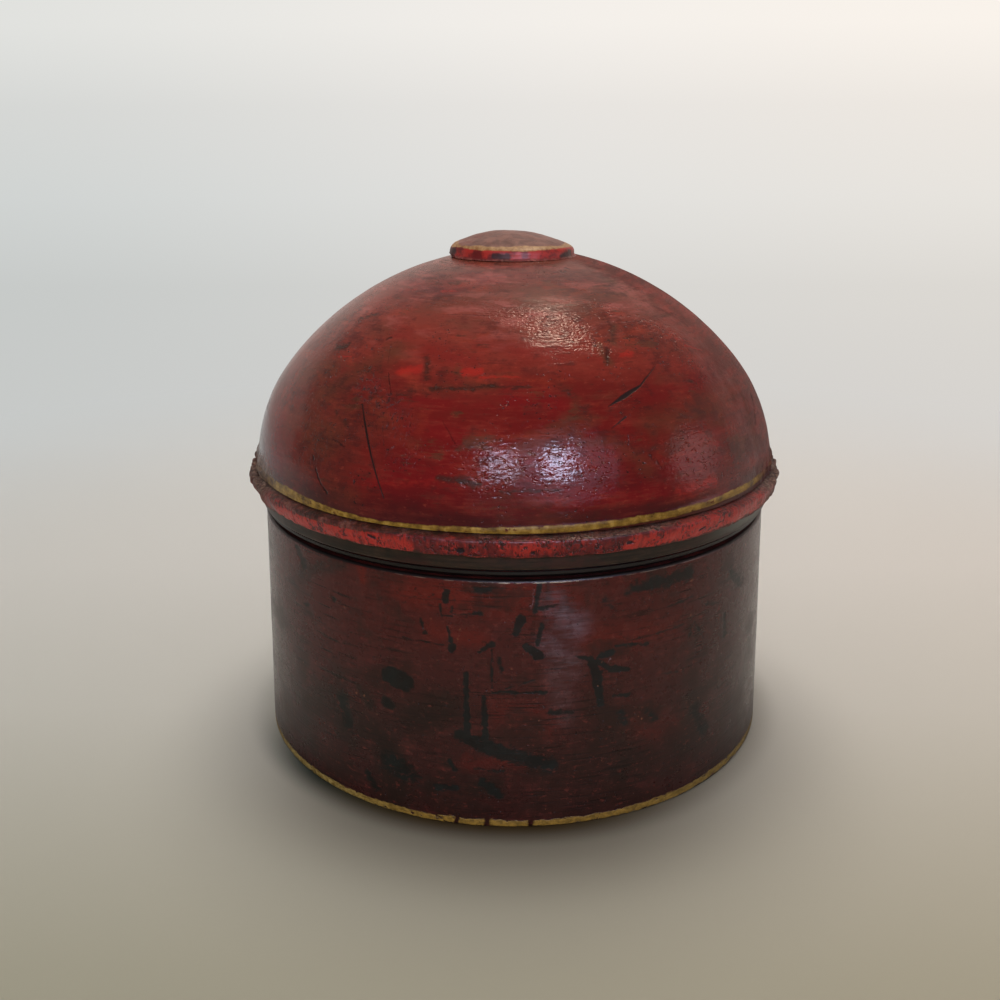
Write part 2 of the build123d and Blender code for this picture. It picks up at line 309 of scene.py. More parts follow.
drumStains = {  # azimuth, height, to azimuth, to height, width, end width, softness, strength
    "oval": (-24.6, 48, -21.6, 46.8, 3.3, 3.3, 0.9, 1),
    "ovalTail": (-26, 38.9, -24.9, 37.6, 1.7, 1.9, 0.8, 0.8),
    "leftCloud": (-37, 35.5, -35.5, 27, 2.4, 3.0, 2.2, 0.7),
    "leftDot": (-38.6, 68.5, -38.5, 67.9, 1.0, 0.9, 0.4, 0.9),
    "leftSmear": (-49, 61.8, -47, 62.5, 0.8, 0.8, 0.5, 0.6),
    "topLeft": (-51, 80.5, -48.6, 76.5, 1.8, 2.2, 1.3, 0.7),
    "lowCloud": (-25.6, 18.6, -20.8, 15.6, 3.6, 4.2, 3.0, 0.75),
    "lowLeft": (-30.6, 10.8, -28.6, 7, 1.6, 1.8, 1.2, 0.7),
    "tick": (-12.8, 78.4, -13, 75.6, 1.2, 1.1, 0.4, 0.9),
    "loopLeft": (-14.1, 73.9, -13.7, 70.6, 0.4, 0.45, 0.3, 0.9),
    "loopFoot": (-13.7, 70.5, -11.8, 70.7, 0.4, 0.4, 0.3, 0.9),
    "loopRight": (-11.8, 70.7, -11.6, 73.8, 0.4, 0.4, 0.3, 0.8),
    "loopSmear": (-11.2, 71.2, -6.2, 72.2, 0.4, 0.9, 0.5, 0.8),
    "stalk": (-12.5, 67.2, -11.9, 62.4, 0.5, 0.7, 0.3, 0.9),
    "drop": (-12.0, 60.3, -11.5, 60.8, 1.3, 1.2, 0.4, 0.9),
    "leftTick": (-17.9, 68.5, -17.2, 64.4, 0.5, 0.9, 0.4, 0.8),
    "wedge": (-6.6, 59.8, -4.0, 62.5, 0.5, 1.1, 0.4, 0.9),
    "thinLine": (-4.1, 60.3, -4.1, 48, 0.3, 0.4, 0.25, 0.8),
    "greyTick": (-2.7, 57.4, -2.2, 53.5, 0.9, 0.8, 0.7, 0.7),
    "leaf": (0.5, 66, 1.4, 70.6, 1.0, 1.4, 0.35, 1),
    "slash": (4.9, 81.8, 4.1, 73, 0.9, 0.7, 0.4, 0.95),
    "slashArm": (5.0, 73.8, 8.4, 74.8, 0.8, 0.5, 0.4, 0.8),
    "lowSlash": (5.4, 69, 4.4, 62.3, 0.8, 0.7, 0.35, 0.95),
    "heel": (2.4, 61.8, 4.9, 58.8, 1.1, 1.5, 0.4, 1),
    "heelDrop": (4.2, 57.9, 4.5, 58.9, 1.0, 1.0, 0.4, 0.9),
    "leftBar": (-9.1, 52.4, -8.8, 29.5, 0.7, 1.2, 0.5, 1),
    "rightBar": (-5.6, 44.8, -5.4, 31.3, 0.8, 1.1, 0.5, 0.95),
    "crossLine": (-4.1, 46.8, 6.2, 46.6, 0.4, 0.5, 0.3, 0.85),
    "crossSlope": (-1.4, 47.9, 4, 50.9, 0.3, 0.3, 0.25, 0.7),
    "barFoot": (-10.4, 31.6, -2.6, 26.4, 1.9, 2.7, 1.6, 1),
    "barToe": (-2.6, 26.4, 7.4, 21.8, 2.6, 2.4, 1.9, 0.95),
    "crossHead": (12.2, 57.9, 14.9, 56.3, 0.35, 1.0, 0.35, 0.95),
    "crossBend": (14.9, 56, 16.1, 51.2, 1.3, 1.8, 0.5, 1),
    "crossStem": (16.1, 51.2, 17, 41.3, 1.8, 1.2, 0.5, 1),
    "crossBlob": (16.6, 56.9, 19.2, 57.6, 1.0, 1.2, 0.6, 0.9),
    "crossArm": (16.2, 55.5, 18.9, 52.2, 0.8, 1.0, 0.35, 0.95),
    "crossRight": (18.9, 52.2, 22.7, 51.1, 1.1, 0.95, 0.35, 0.95),
    "crossToe": (19.6, 43, 23.1, 42.3, 0.5, 0.6, 0.4, 0.85),
    "blueBlot": (7.4, 39.9, 11.3, 39.3, 1.3, 1.0, 0.7, 0.7),
    "rightLine": (31.7, 68.8, 38.1, 69.8, 0.5, 0.4, 0.3, 0.75),
    "rightLineLow": (29.2, 61, 35.8, 61.3, 0.5, 0.4, 0.3, 0.75),
    "midLine": (20, 59.6, 26.9, 58.2, 0.5, 0.6, 0.3, 0.8),
    "lowLine": (29.9, 46.9, 36.2, 45.3, 0.35, 0.4, 0.3, 0.7),
    "archLeft": (37.6, 56.7, 39, 60.8, 0.5, 0.5, 0.4, 0.7),
    "archRight": (39, 60.8, 41.9, 54, 0.5, 0.6, 0.4, 0.7),
    "sideSmear": (42.4, 65.4, 46.6, 63.8, 0.7, 0.9, 0.6, 0.7),
    "sideCloud": (51, 72.4, 56.4, 66, 1.8, 2.4, 1.6, 0.7),
    "topSmear": (23, 77.4, 37, 78, 1.6, 2.6, 2.2, 0.9),
    "sideBar": (49.1, 58.3, 49.8, 51.2, 1.0, 1.3, 1.0, 0.7),
    "topTexture": (17.4, 75, 21, 70.8, 1.5, 1.0, 1.2, 0.5),
    "spotLeft": (21.6, 36.8, 22.4, 33.2, 1.7, 1.4, 1.8, 0.6),
    "spotRight": (27.2, 35.6, 28.8, 32.2, 1.6, 1.4, 1.8, 0.6),
    "topBlock": (-7.3, 79.6, -4.5, 79.8, 1.1, 1.0, 0.9, 0.85),
    "scratchHigh": (-25.6, 74.2, -15.2, 76.6, 0.22, 0.3, 0.25, 0.6),
    "scratchMiddle": (-21.8, 61.8, -13.4, 61.2, 0.2, 0.3, 0.2, 0.8),
    "scratchLow": (-14.5, 47.5, -11, 44, 0.3, 0.3, 0.3, 0.6),
    "greenCloud": (40, 30, 43.2, 20, 2.8, 3.2, 2.4, 0.7),
    "footTick": (-12.4, 22.4, -11.5, 19.4, 0.9, 0.9, 0.5, 0.8),
    "footStreak": (-7.4, 20.6, -2, 19.7, 0.6, 0.6, 0.5, 0.7),
    "footBlotLeft": (-15, 12.3, -11.3, 13.3, 1.4, 1.3, 0.9, 0.8),
    "footBlotRight": (-5.8, 15.7, -3, 11.9, 1.8, 1.8, 1.0, 0.8),
}

drumCloudsAndShade = {  # broad soft stains, and a band of painted shade under the lid's edge
    "olive": (-20.5, 36.2, -13.5, 40.5, 6.4, 7, 4.5, 0.9),
    "blueLeft": (-40.5, 36, -36.5, 22, 3.6, 4.2, 4, 0.9),
    "blueMiddle": (-31.5, 41, -30.2, 35.8, 1.8, 2.4, 1.6, 1),
    "violet": (-26.3, 23.3, -23.5, 6.8, 5.5, 6.2, 5, 0.9),
    "farLeft": (-52, 33, -48.5, 10, 3, 3.6, 4, 0.7),
    "topLeft": (-50, 72.4, -36, 81.6, 1.4, 2.2, 2, 0.9),
    # a band of painted shade just under the lid's overhang
    "shadeUnderLid": (-66, 81, -34, 81.6, 0.5, 0.5, 1.4, 0.45),
    "right": (17, 39, 23.6, 19.5, 5.5, 6.5, 6, 0.7),
    "rightDot": (20.8, 36, 21.6, 33.4, 1.8, 2, 2.4, 0.6),
    "rightDotTwo": (27.5, 34.4, 28.5, 32.4, 1.8, 2, 2.4, 0.6),
    "leftBroad": (-44, 31, -26, 27, 6.5, 6.5, 6, 0.75),
    "leftStem": (-38, 44, -34, 20, 3, 3.4, 3, 0.8),
    "rightDotLow": (21, 16.8, 21.9, 14.8, 2, 2.4, 1.6, 1),
    "green": (39, 37, 37.5, 18.4, 3, 4, 3.5, 0.9),
    "footMiddle": (-6.4, 14.1, -4.2, 14, 2.6, 2.8, 1.6, 0.9),
    "footLeft": (-16.5, 12.4, -16.1, 11.2, 2.6, 2.6, 1.6, 0.9),
    "underWindow": (4.8, 23.6, 5.5, 21, 3, 3, 2, 1),
    "topRight": (53.2, 70, 55, 67.5, 2.2, 2.6, 2, 0.9),
    "rightUpper": (37.8, 59.2, 39.3, 56.3, 2, 2.4, 1.6, 0.8),
    "rightEdge": (48.4, 57, 49.3, 52.8, 2, 2.4, 2, 0.8),
    "topDotLeft": (-8.2, 79.6, -4.8, 80.4, 1.6, 1.6, 1.2, 0.9),
    "tickDot": (-13.4, 22.3, -12.8, 20.8, 1.4, 1.5, 1, 0.9),
    "topDotRight": (5.8, 80.8, 6.6, 77.6, 0.9, 1.2, 0.8, 0.9),
}

drumFlush = {  # where the lacquer shows redder
    "topLeft": (-31.8, 83.2, -30.5, 77.5, 1.6, 1.9, 1.2, 0.8),
    "footSpot": (-9.0, 23.8, -7.2, 23.5, 1.2, 1.1, 1.4, 0.4),
    "window": (-1.4, 40.4, 5.4, 36, 5.2, 5.4, 3, 0.35),
    "lowMiddle": (-8.4, 21.6, 1, 24, 2.4, 2.4, 2.4, 0.4),
    "topMiddle": (-22, 77, 8.5, 76.5, 3.6, 4.4, 5, 0.9),
    "leftMiddle": (-16, 65.4, -6.5, 63.8, 3, 3.2, 4, 0.7),
    "rightMiddle": (15, 62.6, 34.5, 61.6, 3.6, 4, 5, 0.6),
    "rightLow": (26, 29, 41.5, 25, 3.4, 3.6, 4, 0.5),
}

drumHazeAndReflection = {  # blue-grey bloom that is partly a painted reflection of the floor in front, and two painted glints
    "patch": (7.6, 75.2, 11.6, 67.4, 3.4, 4.0, 4.0, 1),
    "patchMiddle": (6.6, 62, 10.6, 54.6, 3, 4, 4, 0.9),
    "patchLow": (8.4, 52, 10, 38, 3, 2.6, 4, 0.7),
    "glint": (19.1, 55.3, 18.8, 54.1, 0.15, 0.1, 0.12, 2.0),
    "slashGlint": (3.9, 79.5, 3.4, 73.5, 0.12, 0.12, 0.15, 1.6),
}

drumBreaks = {  # where the gilt foot line is broken
    "left": (-11.3, -1, -10.9, 4, 0.9, 0.6, 0.4, 1),
    "middle": (-5.3, -1, -4.9, 4, 0.8, 0.8, 0.4, 1),
    "right": (3.2, -1, 3.6, 4, 0.7, 0.9, 0.4, 1),
}


def makeDrum(finishes):
    d = drum
    lipTop = d["height"] + d["lipHeight"]
    ring = d["footRadius"] - d["footRing"]
    corners = [
        (0, d["footHollow"]), (ring, d["footHollow"]), (ring, 0), (d["footRadius"], 0),
        (d["mouthRadius"], d["height"]), (d["lipRadius"], d["height"]),
        (d["lipRadius"], lipTop), (d["boreRadius"], lipTop), (d["boreRadius"], d["floor"]),
        (0, d["floor"]),
    ]
    setbacks = {
        3: d["footRound"], 4: d["mouthRound"], 6: d["lipEdge"], 7: d["lipEdge"],
        8: d["floorCorner"],
    }
    piece = bmesh.new()
    outline(piece, corners, setbacks)
    outside = (d["mouthRadius"] + d["lipRadius"]) / 2 * mm
    spaceOut(piece, d["gap"], lambda middle: middle.x > outside)
    spaceOut(piece, d["insideGap"])
    spinRound(piece, d["steps"])
    for vertex in piece.verts:
        _, radius, height = polar(vertex.co)
        if radius > outside / mm and height > hair:
            place = vertex.co
            shift = d["swell"] * ripple(place, d["swellSize"]) + d["dent"] * ripple(place, d["dentSize"])
            shift += d["turning"] * grain(place, d["turningAcross"], d["turningUp"])
            nearMouth = max(0, 1 - (d["height"] - height) / d["chipHeight"])
            shift -= nearMouth * d["mouthChip"] * max(0, ripple(place, d["chipSize"]) - d["chipLevel"])
            vertex.co += Vector((place.x, place.y, 0)).normalized() * shift * mm
        if height > d["height"] + 2 * hair:  # the lip sinks into a thumb notch at each side
            reach = d["notchRadius"] ** 2 - (vertex.co.y / mm) ** 2
            dip = sqrt(max(0, reach)) - d["notchRadius"] + d["notchDepth"]
            if dip > 0:
                share = (height - d["height"]) / d["lipHeight"]
                vertex.co.z -= share * dip * mm
    for face in piece.faces:
        middle = face.calc_center_median()
        facesDown = face.normal.z < d["downward"]
        isSide = hypot(middle.x, middle.y) > outside and not facesDown
        isUnder = facesDown and middle.z < d["underHeight"] * mm
        face.material_index = 0 if isSide else 2 if isUnder else 1
    made = stand(piece, "drumShell", finishes)
    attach(made, "drum")
    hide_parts("drum")


lid = {
    "wall": 7, "footRadius": 92.0, "level": 95.5, "shoulderRadius": 58, "crownAngle": 38,
    "socketRadius": 85.5, "socketTop": 94.8, "seatHeight": 82.8, "seatWidth": 1.9,
    "stripRadius": 90.0, "stripBottom": 84.5, "stripTop": 85.5, "neckRadius": 89.2,
    "bandRadius": 91.2, "bandBottom": 86.3, "bandRound": 0.5, "rebateRadius": 89.4,
    "beadBottom": 90.9, "beadTop": 97.9, "groove": 0.15, "buttonRadius": 21.2, "holeRadius": 6.08,
    "steps": 608, "arcGap": 1.25, "footGap": 0.5, "insideGap": 9,
    "outerGap": 1.2, "footBand": 4, "skin": 1,
    "swell": 0.4, "swellSize": 52, "dent": 0.1, "dentSize": 15,
    "turning": 0.05, "turningAcross": 34, "turningUp": 2.6,
    "lineHeight": 98.9, "lineSlope": 0.0227, "lineWidth": 1.35, "lineRaise": 0.26,
    "lineEven": 0.85, "lineUneven": 0.35, "lineUnevenSize": 6,
    "crackDepth": 0.16, "crackSlope": 0.15, "crackRefine": 1.6,
    "crackLeft": -40, "crackRight": 42, "crackLow": 105, "crackHigh": 142,
    "endLump": 1.1, "endLumpSize": 3.6, "endLumpLevel": 0.25,
    "endFrom": (60, 68), "endTo": (116, 106), "endHeights": (105, 101),  # where the side crust fades
    "roughness": 0.13, "relief": 0.34, "specular": 0.25,
    "skirtRoughness": 0.34, "skirtRelief": 0.1, "skirtSpecular": 0.28,
}
lid["shoulderCentre"] = lid["footRadius"] - lid["shoulderRadius"]
lid["crownLevel"] = lid["level"] - lid["shoulderCentre"] * tan(radians(lid["crownAngle"]))
lid["crownRadius"] = lid["shoulderRadius"] + lid["shoulderCentre"] / cos(radians(lid["crownAngle"]))
lid["buttonSeat"] = lid["crownLevel"] + sqrt(lid["crownRadius"] ** 2 - lid["buttonRadius"] ** 2)


def domePoint(inset, angle):  # a point of the lid's outline at an angle above level
    onShoulder = angle <= lid["crownAngle"]
    centre = lid["shoulderCentre"] if onShoulder else 0
    level = lid["level"] if onShoulder else lid["crownLevel"]
    radius = (lid["shoulderRadius"] if onShoulder else lid["crownRadius"]) - inset
    return centre + radius * cos(radians(angle)), level + radius * sin(radians(angle))


def domeArc(inset, start, end, gap):
    count = round((lid["crownRadius"] - inset) * radians(end - start) * 0.8 / gap)
    return [domePoint(inset, start + (end - start) * step / count) for step in range(count + 1)]


def domeSide(height):
    turn = lid["level"] + lid["shoulderRadius"] * sin(radians(lid["crownAngle"]))
    if height <= turn:
        return lid["shoulderCentre"] + sqrt(lid["shoulderRadius"] ** 2 - (height - lid["level"]) ** 2)
    return sqrt(max(0, lid["crownRadius"] ** 2 - (height - lid["crownLevel"]) ** 2))


lidCracks = {  # azimuth, height, to azimuth, to height, width, end width, softness, strength
    "crackTop": (-34.2, 130, -31.2, 124, 0.16, 0.34, 0.14, 1),
    "crackMiddle": (-31.2, 124, -28.7, 117.6, 0.34, 0.3, 0.14, 1),
    "crackFoot": (-28.7, 117.6, -24.7, 105.8, 0.3, 0.2, 0.14, 1),
    "gashLeft": (20.3, 131.3, 25, 133.6, 0.1, 0.8, 0.2, 1),
    "gashMiddle": (25, 133.6, 29.6, 135.6, 0.8, 0.36, 0.2, 1),
    "gashRight": (29.6, 135.6, 37.2, 140.2, 0.3, 0.05, 0.14, 0.9),
    "gashLower": (20, 125.8, 23.6, 128.3, 0.08, 0.3, 0.14, 0.9),
}

lidScratches = {
    "left": (-35.2, 146, -32.5, 141, 0.1, 0.1, 0.12, 0.7),
    "leftLow": (-31, 138.8, -27.9, 133.6, 0.14, 0.2, 0.14, 0.9),
    "besideCrack": (-27.4, 125.4, -26.1, 120.3, 0.1, 0.1, 0.12, 0.8),
    "besideTwo": (-27.3, 136, -22.8, 120, 0.08, 0.1, 0.12, 0.5),
    "besideThree": (-29.2, 126, -27.6, 121.5, 0.1, 0.1, 0.12, 0.6),
    "short": (-38.8, 119.5, -35.4, 118.2, 0.15, 0.35, 0.15, 0.9),
    "long": (-43.6, 113.4, -41, 107.6, 0.3, 0.35, 0.2, 0.95),
    "longLow": (-41, 107.6, -38.2, 103.8, 0.35, 0.4, 0.25, 0.95),
    "front": (-14.4, 128, -11.4, 122.6, 0.12, 0.25, 0.2, 0.5),
    "right": (23.2, 123.6, 22.7, 121, 0.15, 0.15, 0.15, 0.6),
    "rightLow": (27.1, 117.6, 29.4, 113.4, 0.6, 0.3, 0.6, 0.8),
    "overGash": (25.1, 145.4, 23.5, 142.2, 0.7, 0.5, 0.6, 0.8),
    "greenTick": (30.7, 152.2, 29.2, 149.2, 0.7, 0.8, 0.8, 0.5),
    "line": (-23.8, 154.5, -7.8, 154.7, 0.15, 0.12, 0.15, 0.6),
    "crownDotLeft": (30.2, 165.1, 31.8, 165.2, 0.9, 0.8, 0.4, 0.8),
    "crownDotRight": (36, 165.8, 37, 165.7, 0.7, 0.6, 0.4, 0.8),
    "highTick": (43.6, 160.9, 47.1, 160.7, 0.5, 0.35, 0.4, 0.8),
    "leftDots": (-37.6, 147, -36.6, 147.6, 0.5, 0.5, 0.3, 0.7),
}

lidGrime = {  # olive and black smudges
    "leftHigh": (-55.2, 142.4, -50.5, 144, 1.6, 1.4, 1.4, 0.8),
    "leftHigher": (-56.9, 150.8, -51.3, 152.4, 1.6, 1.4, 1.4, 0.8),
    "leftFront": (-22.4, 143.8, -20.5, 138.6, 1.3, 1.8, 1.2, 0.8),
    "leftMiddle": (-40.9, 127, -36.7, 123.8, 1.2, 1.5, 1.2, 0.6),
    "besideScratch": (-38.4, 139, -33, 139.6, 2.4, 2.0, 2.0, 0.6),
    "purple": (-32.4, 132.2, -16.8, 135.8, 1.8, 1.8, 2.2, 0.6),
    "belt": (-18.8, 136, -9, 136.4, 1.0, 0.9, 0.9, 0.9),
    "beltRight": (-8.6, 137, 3.6, 137, 0.9, 0.7, 0.9, 0.8),
    "lowFront": (-13.6, 113, -6.4, 112, 1.5, 1.5, 1.7, 0.95),
    "lowMiddle": (-2.4, 110, 8.4, 110.3, 0.7, 0.7, 0.9, 0.8),
    "rightEdge": (44.3, 134.8, 46.6, 134, 0.9, 0.9, 0.8, 0.8),
    "rightGreen": (41.8, 122.8, 44, 118.8, 1.6, 1.8, 1.6, 0.6),
    "rightLimb": (71, 124.2, 65.2, 117, 1.2, 1.2, 1.0, 0.8),
    "rightHigh": (60, 152, 56, 154.5, 1.6, 1.2, 1.4, 0.8),
    "violet": (10.6, 137.4, 15.6, 128.6, 1.8, 2.2, 2.4, 0.6),
    "underKnob": (-14.6, 167.4, -11.6, 166.4, 1.6, 1.6, 1.6, 0.6),
    "besideOrange": (14, 139, 18, 137, 1, 1, 1, 0.6),
}

lidFlush = {  # worn patches where brighter red shows
    "crownLeft": (-31.5, 160.4, -24.6, 160.5, 1.2, 1.0, 1.2, 0.6),
    "crownFarLeft": (-54, 159.3, -43.4, 160, 1.3, 1.4, 1.6, 0.5),
    "front": (-27.6, 139.6, -23.2, 140.6, 1.9, 1.9, 1.6, 0.85),
    "middle": (-11.4, 140.6, -8.2, 140.9, 1.7, 1.4, 1.2, 1),
    "middleLine": (-7.8, 139.3, 1.4, 139.6, 0.4, 0.3, 0.5, 0.9),
    "leftLine": (-51, 140.6, -45.8, 141.3, 0.4, 0.4, 0.4, 0.8),
    "right": (28.6, 143.6, 31.2, 144, 1.3, 1.5, 1.6, 0.9),
    "besideGreen": (12, 138.6, 16.4, 138.2, 1.0, 1.0, 1.4, 0.35),
    "rightStreak": (53, 143.4, 58.6, 141, 0.5, 0.3, 0.5, 1),
    "rightStreakTwo": (51, 145.8, 56, 144, 0.5, 0.3, 0.5, 0.8),
    "low": (33, 105.6, 42.5, 106.4, 1.8, 2.0, 4.4, 0.85),
    "lowRightFaint": (28, 106.4, 34, 106.8, 0.8, 0.8, 1.4, 0.4),
    "lowLeft": (-29, 109, -12, 112.6, 1.8, 1.8, 2.4, 0.5),
    "pink": (41, 121, 45.4, 116.4, 1.4, 1.8, 2.4, 0.5),
}

lidCrimson = {  # broad crimson zones
    "band": (-26, 130.6, 10, 132.8, 2.6, 2.6, 3, 1),
    "middle": (-24, 126.3, -8.4, 123.4, 3, 2.4, 4, 0.9),
    "lowLeft": (-40, 111, -12, 113, 3.6, 3.6, 5, 0.8),
    "lowRight": (6, 107.6, 30, 107, 2, 2, 3, 0.8),
    "upper": (-9, 147.4, 12, 145, 3, 3, 4, 0.7),
    "upperLeft": (-22.5, 145.6, -11, 143.7, 3, 3, 3, 0.6),
    "right": (34, 134, 50, 130, 4, 4, 5, 0.5),
}

lidOlive = {  # broad brown-green zones
    "leftHigh": (-63, 133, -49.8, 138, 4, 4, 5, 0.8),
    "left": (-47, 130.5, -33, 144, 3.4, 3.6, 4, 0.8),
    "leftLow": (-56, 120.8, -40, 119, 4, 4, 5, 0.6),
    "crown": (-31, 156.6, 29.8, 158, 3.6, 4, 5, 0.6),
    "rightHigh": (34, 160, 59, 156, 3, 3, 4, 0.7),
    "right": (29, 125.5, 60, 127.4, 4, 4.4, 5, 0.8),
    "overGash": (23.5, 147, 24, 142, 1.2, 1.2, 1.4, 1),
    "green": (32, 151.3, 27.5, 146.6, 1, 1, 1.2, 0.9),
    "rightLow": (20.5, 122.5, 26.4, 113.8, 2.4, 2.6, 3, 0.7),
    "farRight": (64, 124.6, 61.5, 113, 2.4, 2.6, 2.4, 0.9),
}

lidWrinkles = {  # where the lacquer has shrunk into fine wrinkles
    "windowLeft": (-6.4, 117, -1.2, 117.4, 7, 7, 4, 1),
    "windowRight": (6, 117, 13, 116, 7, 7, 4, 1),
    "side": (36, 117, 42, 111, 6, 6, 5, 0.9),
    "ridges": (33, 155, 52, 147, 3.6, 4, 5, 0.9),
}

lidCombed = {  # where the brush left raised lines
    "crown": (-8, 155.4, 20, 150, 4.4, 5.6, 4, 1),
    "crownRight": (18, 148, 27, 144, 3, 3, 4, 0.7),
}

lidChecks = {  # where fine upright checks show
    "left": (-37, 136.3, -23.5, 127, 3.8, 4.2, 3.5, 1),
    "leftLow": (-36, 122, -20, 118, 3, 3, 5, 0.5),
    "farLeft": (-56, 128, -44, 122, 4, 4, 5, 0.4),
}


def nearest(place, strokes, surface):  # how deep a place lies in the nearest stroke, 0 to 1
    depth = 0
    for mark in strokes.values():
        start, run, facing = stroke(mark, surface)
        offset = place / mm - start
        share = along(offset.dot(run), 0, run.length_squared)
        offset -= facing * offset.dot(facing) * flatten
        width, toWidth, _, strength = mark[4:]
        reach = width + (toWidth - width) * share + lid["crackSlope"]
        depth = max(depth, strength * (1 - (offset - run * share).length / reach))
    return depth


def makeLidDome(finishes):
    d = lid
    grooveTop = d["beadTop"] + d["groove"]
    startAngle = degrees(asin((grooveTop - d["level"]) / d["shoulderRadius"]))
    seatAngle = degrees(acos(d["buttonRadius"] / d["crownRadius"]))
    innerEnd = degrees(acos(d["holeRadius"] / (d["crownRadius"] - d["wall"])))
    innerLevel = max(d["socketTop"], d["level"])
    innerStart = degrees(asin((innerLevel - d["level"]) / (d["shoulderRadius"] - d["wall"])))
    outer = domeArc(0, startAngle, seatAngle, d["arcGap"])
    inner = domeArc(d["wall"], innerStart, innerEnd, d["insideGap"])
    corners = [
        (inner[0][0], d["socketTop"]), (d["socketRadius"], d["socketTop"]),
        (d["socketRadius"], d["seatHeight"]), (d["socketRadius"] + d["seatWidth"], d["seatHeight"]),
        (d["stripRadius"], d["stripBottom"]), (d["stripRadius"], d["stripTop"]),
        (d["neckRadius"], d["stripTop"]), (d["neckRadius"], d["bandBottom"]),
        (d["bandRadius"], d["bandBottom"]), (d["bandRadius"], d["beadBottom"]),
        (d["rebateRadius"], d["beadBottom"]), (d["rebateRadius"], d["beadTop"]),
        (outer[0][0] - d["groove"], d["beadTop"]),
    ]
    corners += outer + [(d["holeRadius"], d["buttonSeat"])] + inner[::-1]
    piece = bmesh.new()
    outline(piece, corners, {8: d["bandRound"]})
    outside = d["neckRadius"] * mm
    footLow = grooveTop * mm
    footHigh = (grooveTop + d["footBand"]) * mm
    spaceOut(piece, d["footGap"], lambda middle: footLow < middle.z < footHigh and middle.x > outside)
    spaceOut(piece, d["outerGap"], lambda middle: middle.x > outside)
    spaceOut(piece, d["insideGap"])
    spinRound(piece, d["steps"])
    refine(piece, lidCracks, domeSide, d["crackRefine"])
    for vertex in piece.verts:
        azimuth, radius, height = polar(vertex.co)
        place = vertex.co
        if height < grooveTop - 2 * hair:
            continue
        if radius < max(domeSide(height), d["buttonRadius"]) - d["skin"]:
            continue
        shift = d["swell"] * ripple(place, d["swellSize"]) + d["dent"] * ripple(place, d["dentSize"])
        shift += d["turning"] * grain(place, d["turningAcross"], d["turningUp"])
        fromLine = abs(height - d["lineHeight"] - d["lineSlope"] * place.x / mm) / d["lineWidth"]
        thick = d["lineEven"] + d["lineUneven"] * ripple(place, d["lineUnevenSize"])
        shift += d["lineRaise"] * max(0, 1 - fromLine ** 2) * thick
        end = along(abs(azimuth), *d["endFrom"]) * along(abs(azimuth), *d["endTo"])
        end *= along(height, *d["endHeights"])
        shift += end * d["endLump"] * (ripple(place, d["endLumpSize"]) + d["endLumpLevel"])
        if d["crackLeft"] < azimuth < d["crackRight"] and d["crackLow"] < height < d["crackHigh"]:
            shift -= d["crackDepth"] * nearest(place, lidCracks, domeSide)
        vertex.co += vertex.normal * shift * mm
    middle = Vector((0, 0, d["bandBottom"] * mm))
    for face in piece.faces:
        centre = face.calc_center_median()
        outward = face.normal.dot(centre - middle) > 0
        outward = outward and hypot(centre.x, centre.y) > d["buttonRadius"] * mm
        aboveBead = centre.z > d["beadTop"] * mm
        face.material_index = (0 if aboveBead else 1) if outward else 2
    made = stand(piece, "lidDome", finishes)
    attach(made, "lid")
    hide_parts("lid_dome")


def refine(piece, strokes, surface, reach):  # a finer mesh along the cracks
    wide = {name: mark[:4] + (reach, reach, 0, 1) for name, mark in strokes.items()}
    heights = [height for mark in strokes.values() for height in (mark[1], mark[3])]
    fine = []
    for edge in piece.edges:
        place = (edge.verts[0].co + edge.verts[1].co) / 2
        azimuth, radius, height = polar(place)
        if not min(heights) - reach < height < max(heights) + reach or abs(azimuth) > lid["crackRight"]:
            continue
        if radius > surface(height) - lid["skin"] and nearest(place, wide, surface) > 0:
            fine.append(edge)
    bmesh.ops.subdivide_edges(piece, edges=fine, cuts=2, use_grid_fill=True)
    piece.normal_update()


bead = {
    "rebateRadius": 89.4, "bottom": 90.9, "top": 97.9, "heelRadius": 93.9, "noseRadius": 95.15,
    "noseLow": 95.0, "noseHigh": 96.9, "topRadius": 91.75, "round": 0.7, "mostRadius": 95.28,
    "steps": 1200, "gap": 0.42, "fineTuck": 0.8, "stillTuck": 0.5, "topSlack": 0.25,
    "lump": 0.3, "lumpSize": 7, "lumpLevel": 0.5,
    "endLump": 1.5, "endLumpSize": 4.2, "endLumpLevel": 0.3,
    "endAzimuth": 58, "endLater": 3, "endFade": 14, "endStop": 118,
    "flute": 0.07, "fluteSize": 0.9, "fluteUp": 6,
    "chip": 0.9, "chipSize": 3.4, "chipLevel": 0.12, "chipHeight": 2.4, "chipShift": 0.3,
    "faceTop": 97.3, "brightRadius": 95, "holeRadius": 94.6,
    "roughness": 0.38, "relief": 0.22, "specular": 0.36,
}

beadBright = {  # where the bead is bright vermilion
    "left": (-52, 93, -20, 93, 2.5, 2.5, 2, 1),
    "right": (22, 93.5, 66, 93, 2.2, 3, 2, 1),
    "middle": (-2, 94.5, 8, 94.5, 1.2, 1.2, 1.6, 0.4),
}

beadHoles = {
    "left": (-9.6, 93.4, -9.0, 93.4, 0.75, 0.75, 0.25, 1),
    "right": (20.6, 94.2, 21.1, 94.2, 0.6, 0.6, 0.25, 1),
    "far": (36.4, 93.6, 37.6, 94.2, 0.35, 0.3, 0.2, 1),
    "leftSmall": (-26.8, 95, -25.6, 94.4, 0.4, 0.5, 0.25, 1),
    "small": (3.2, 93, 3.5, 93, 0.35, 0.35, 0.2, 0.9),
}


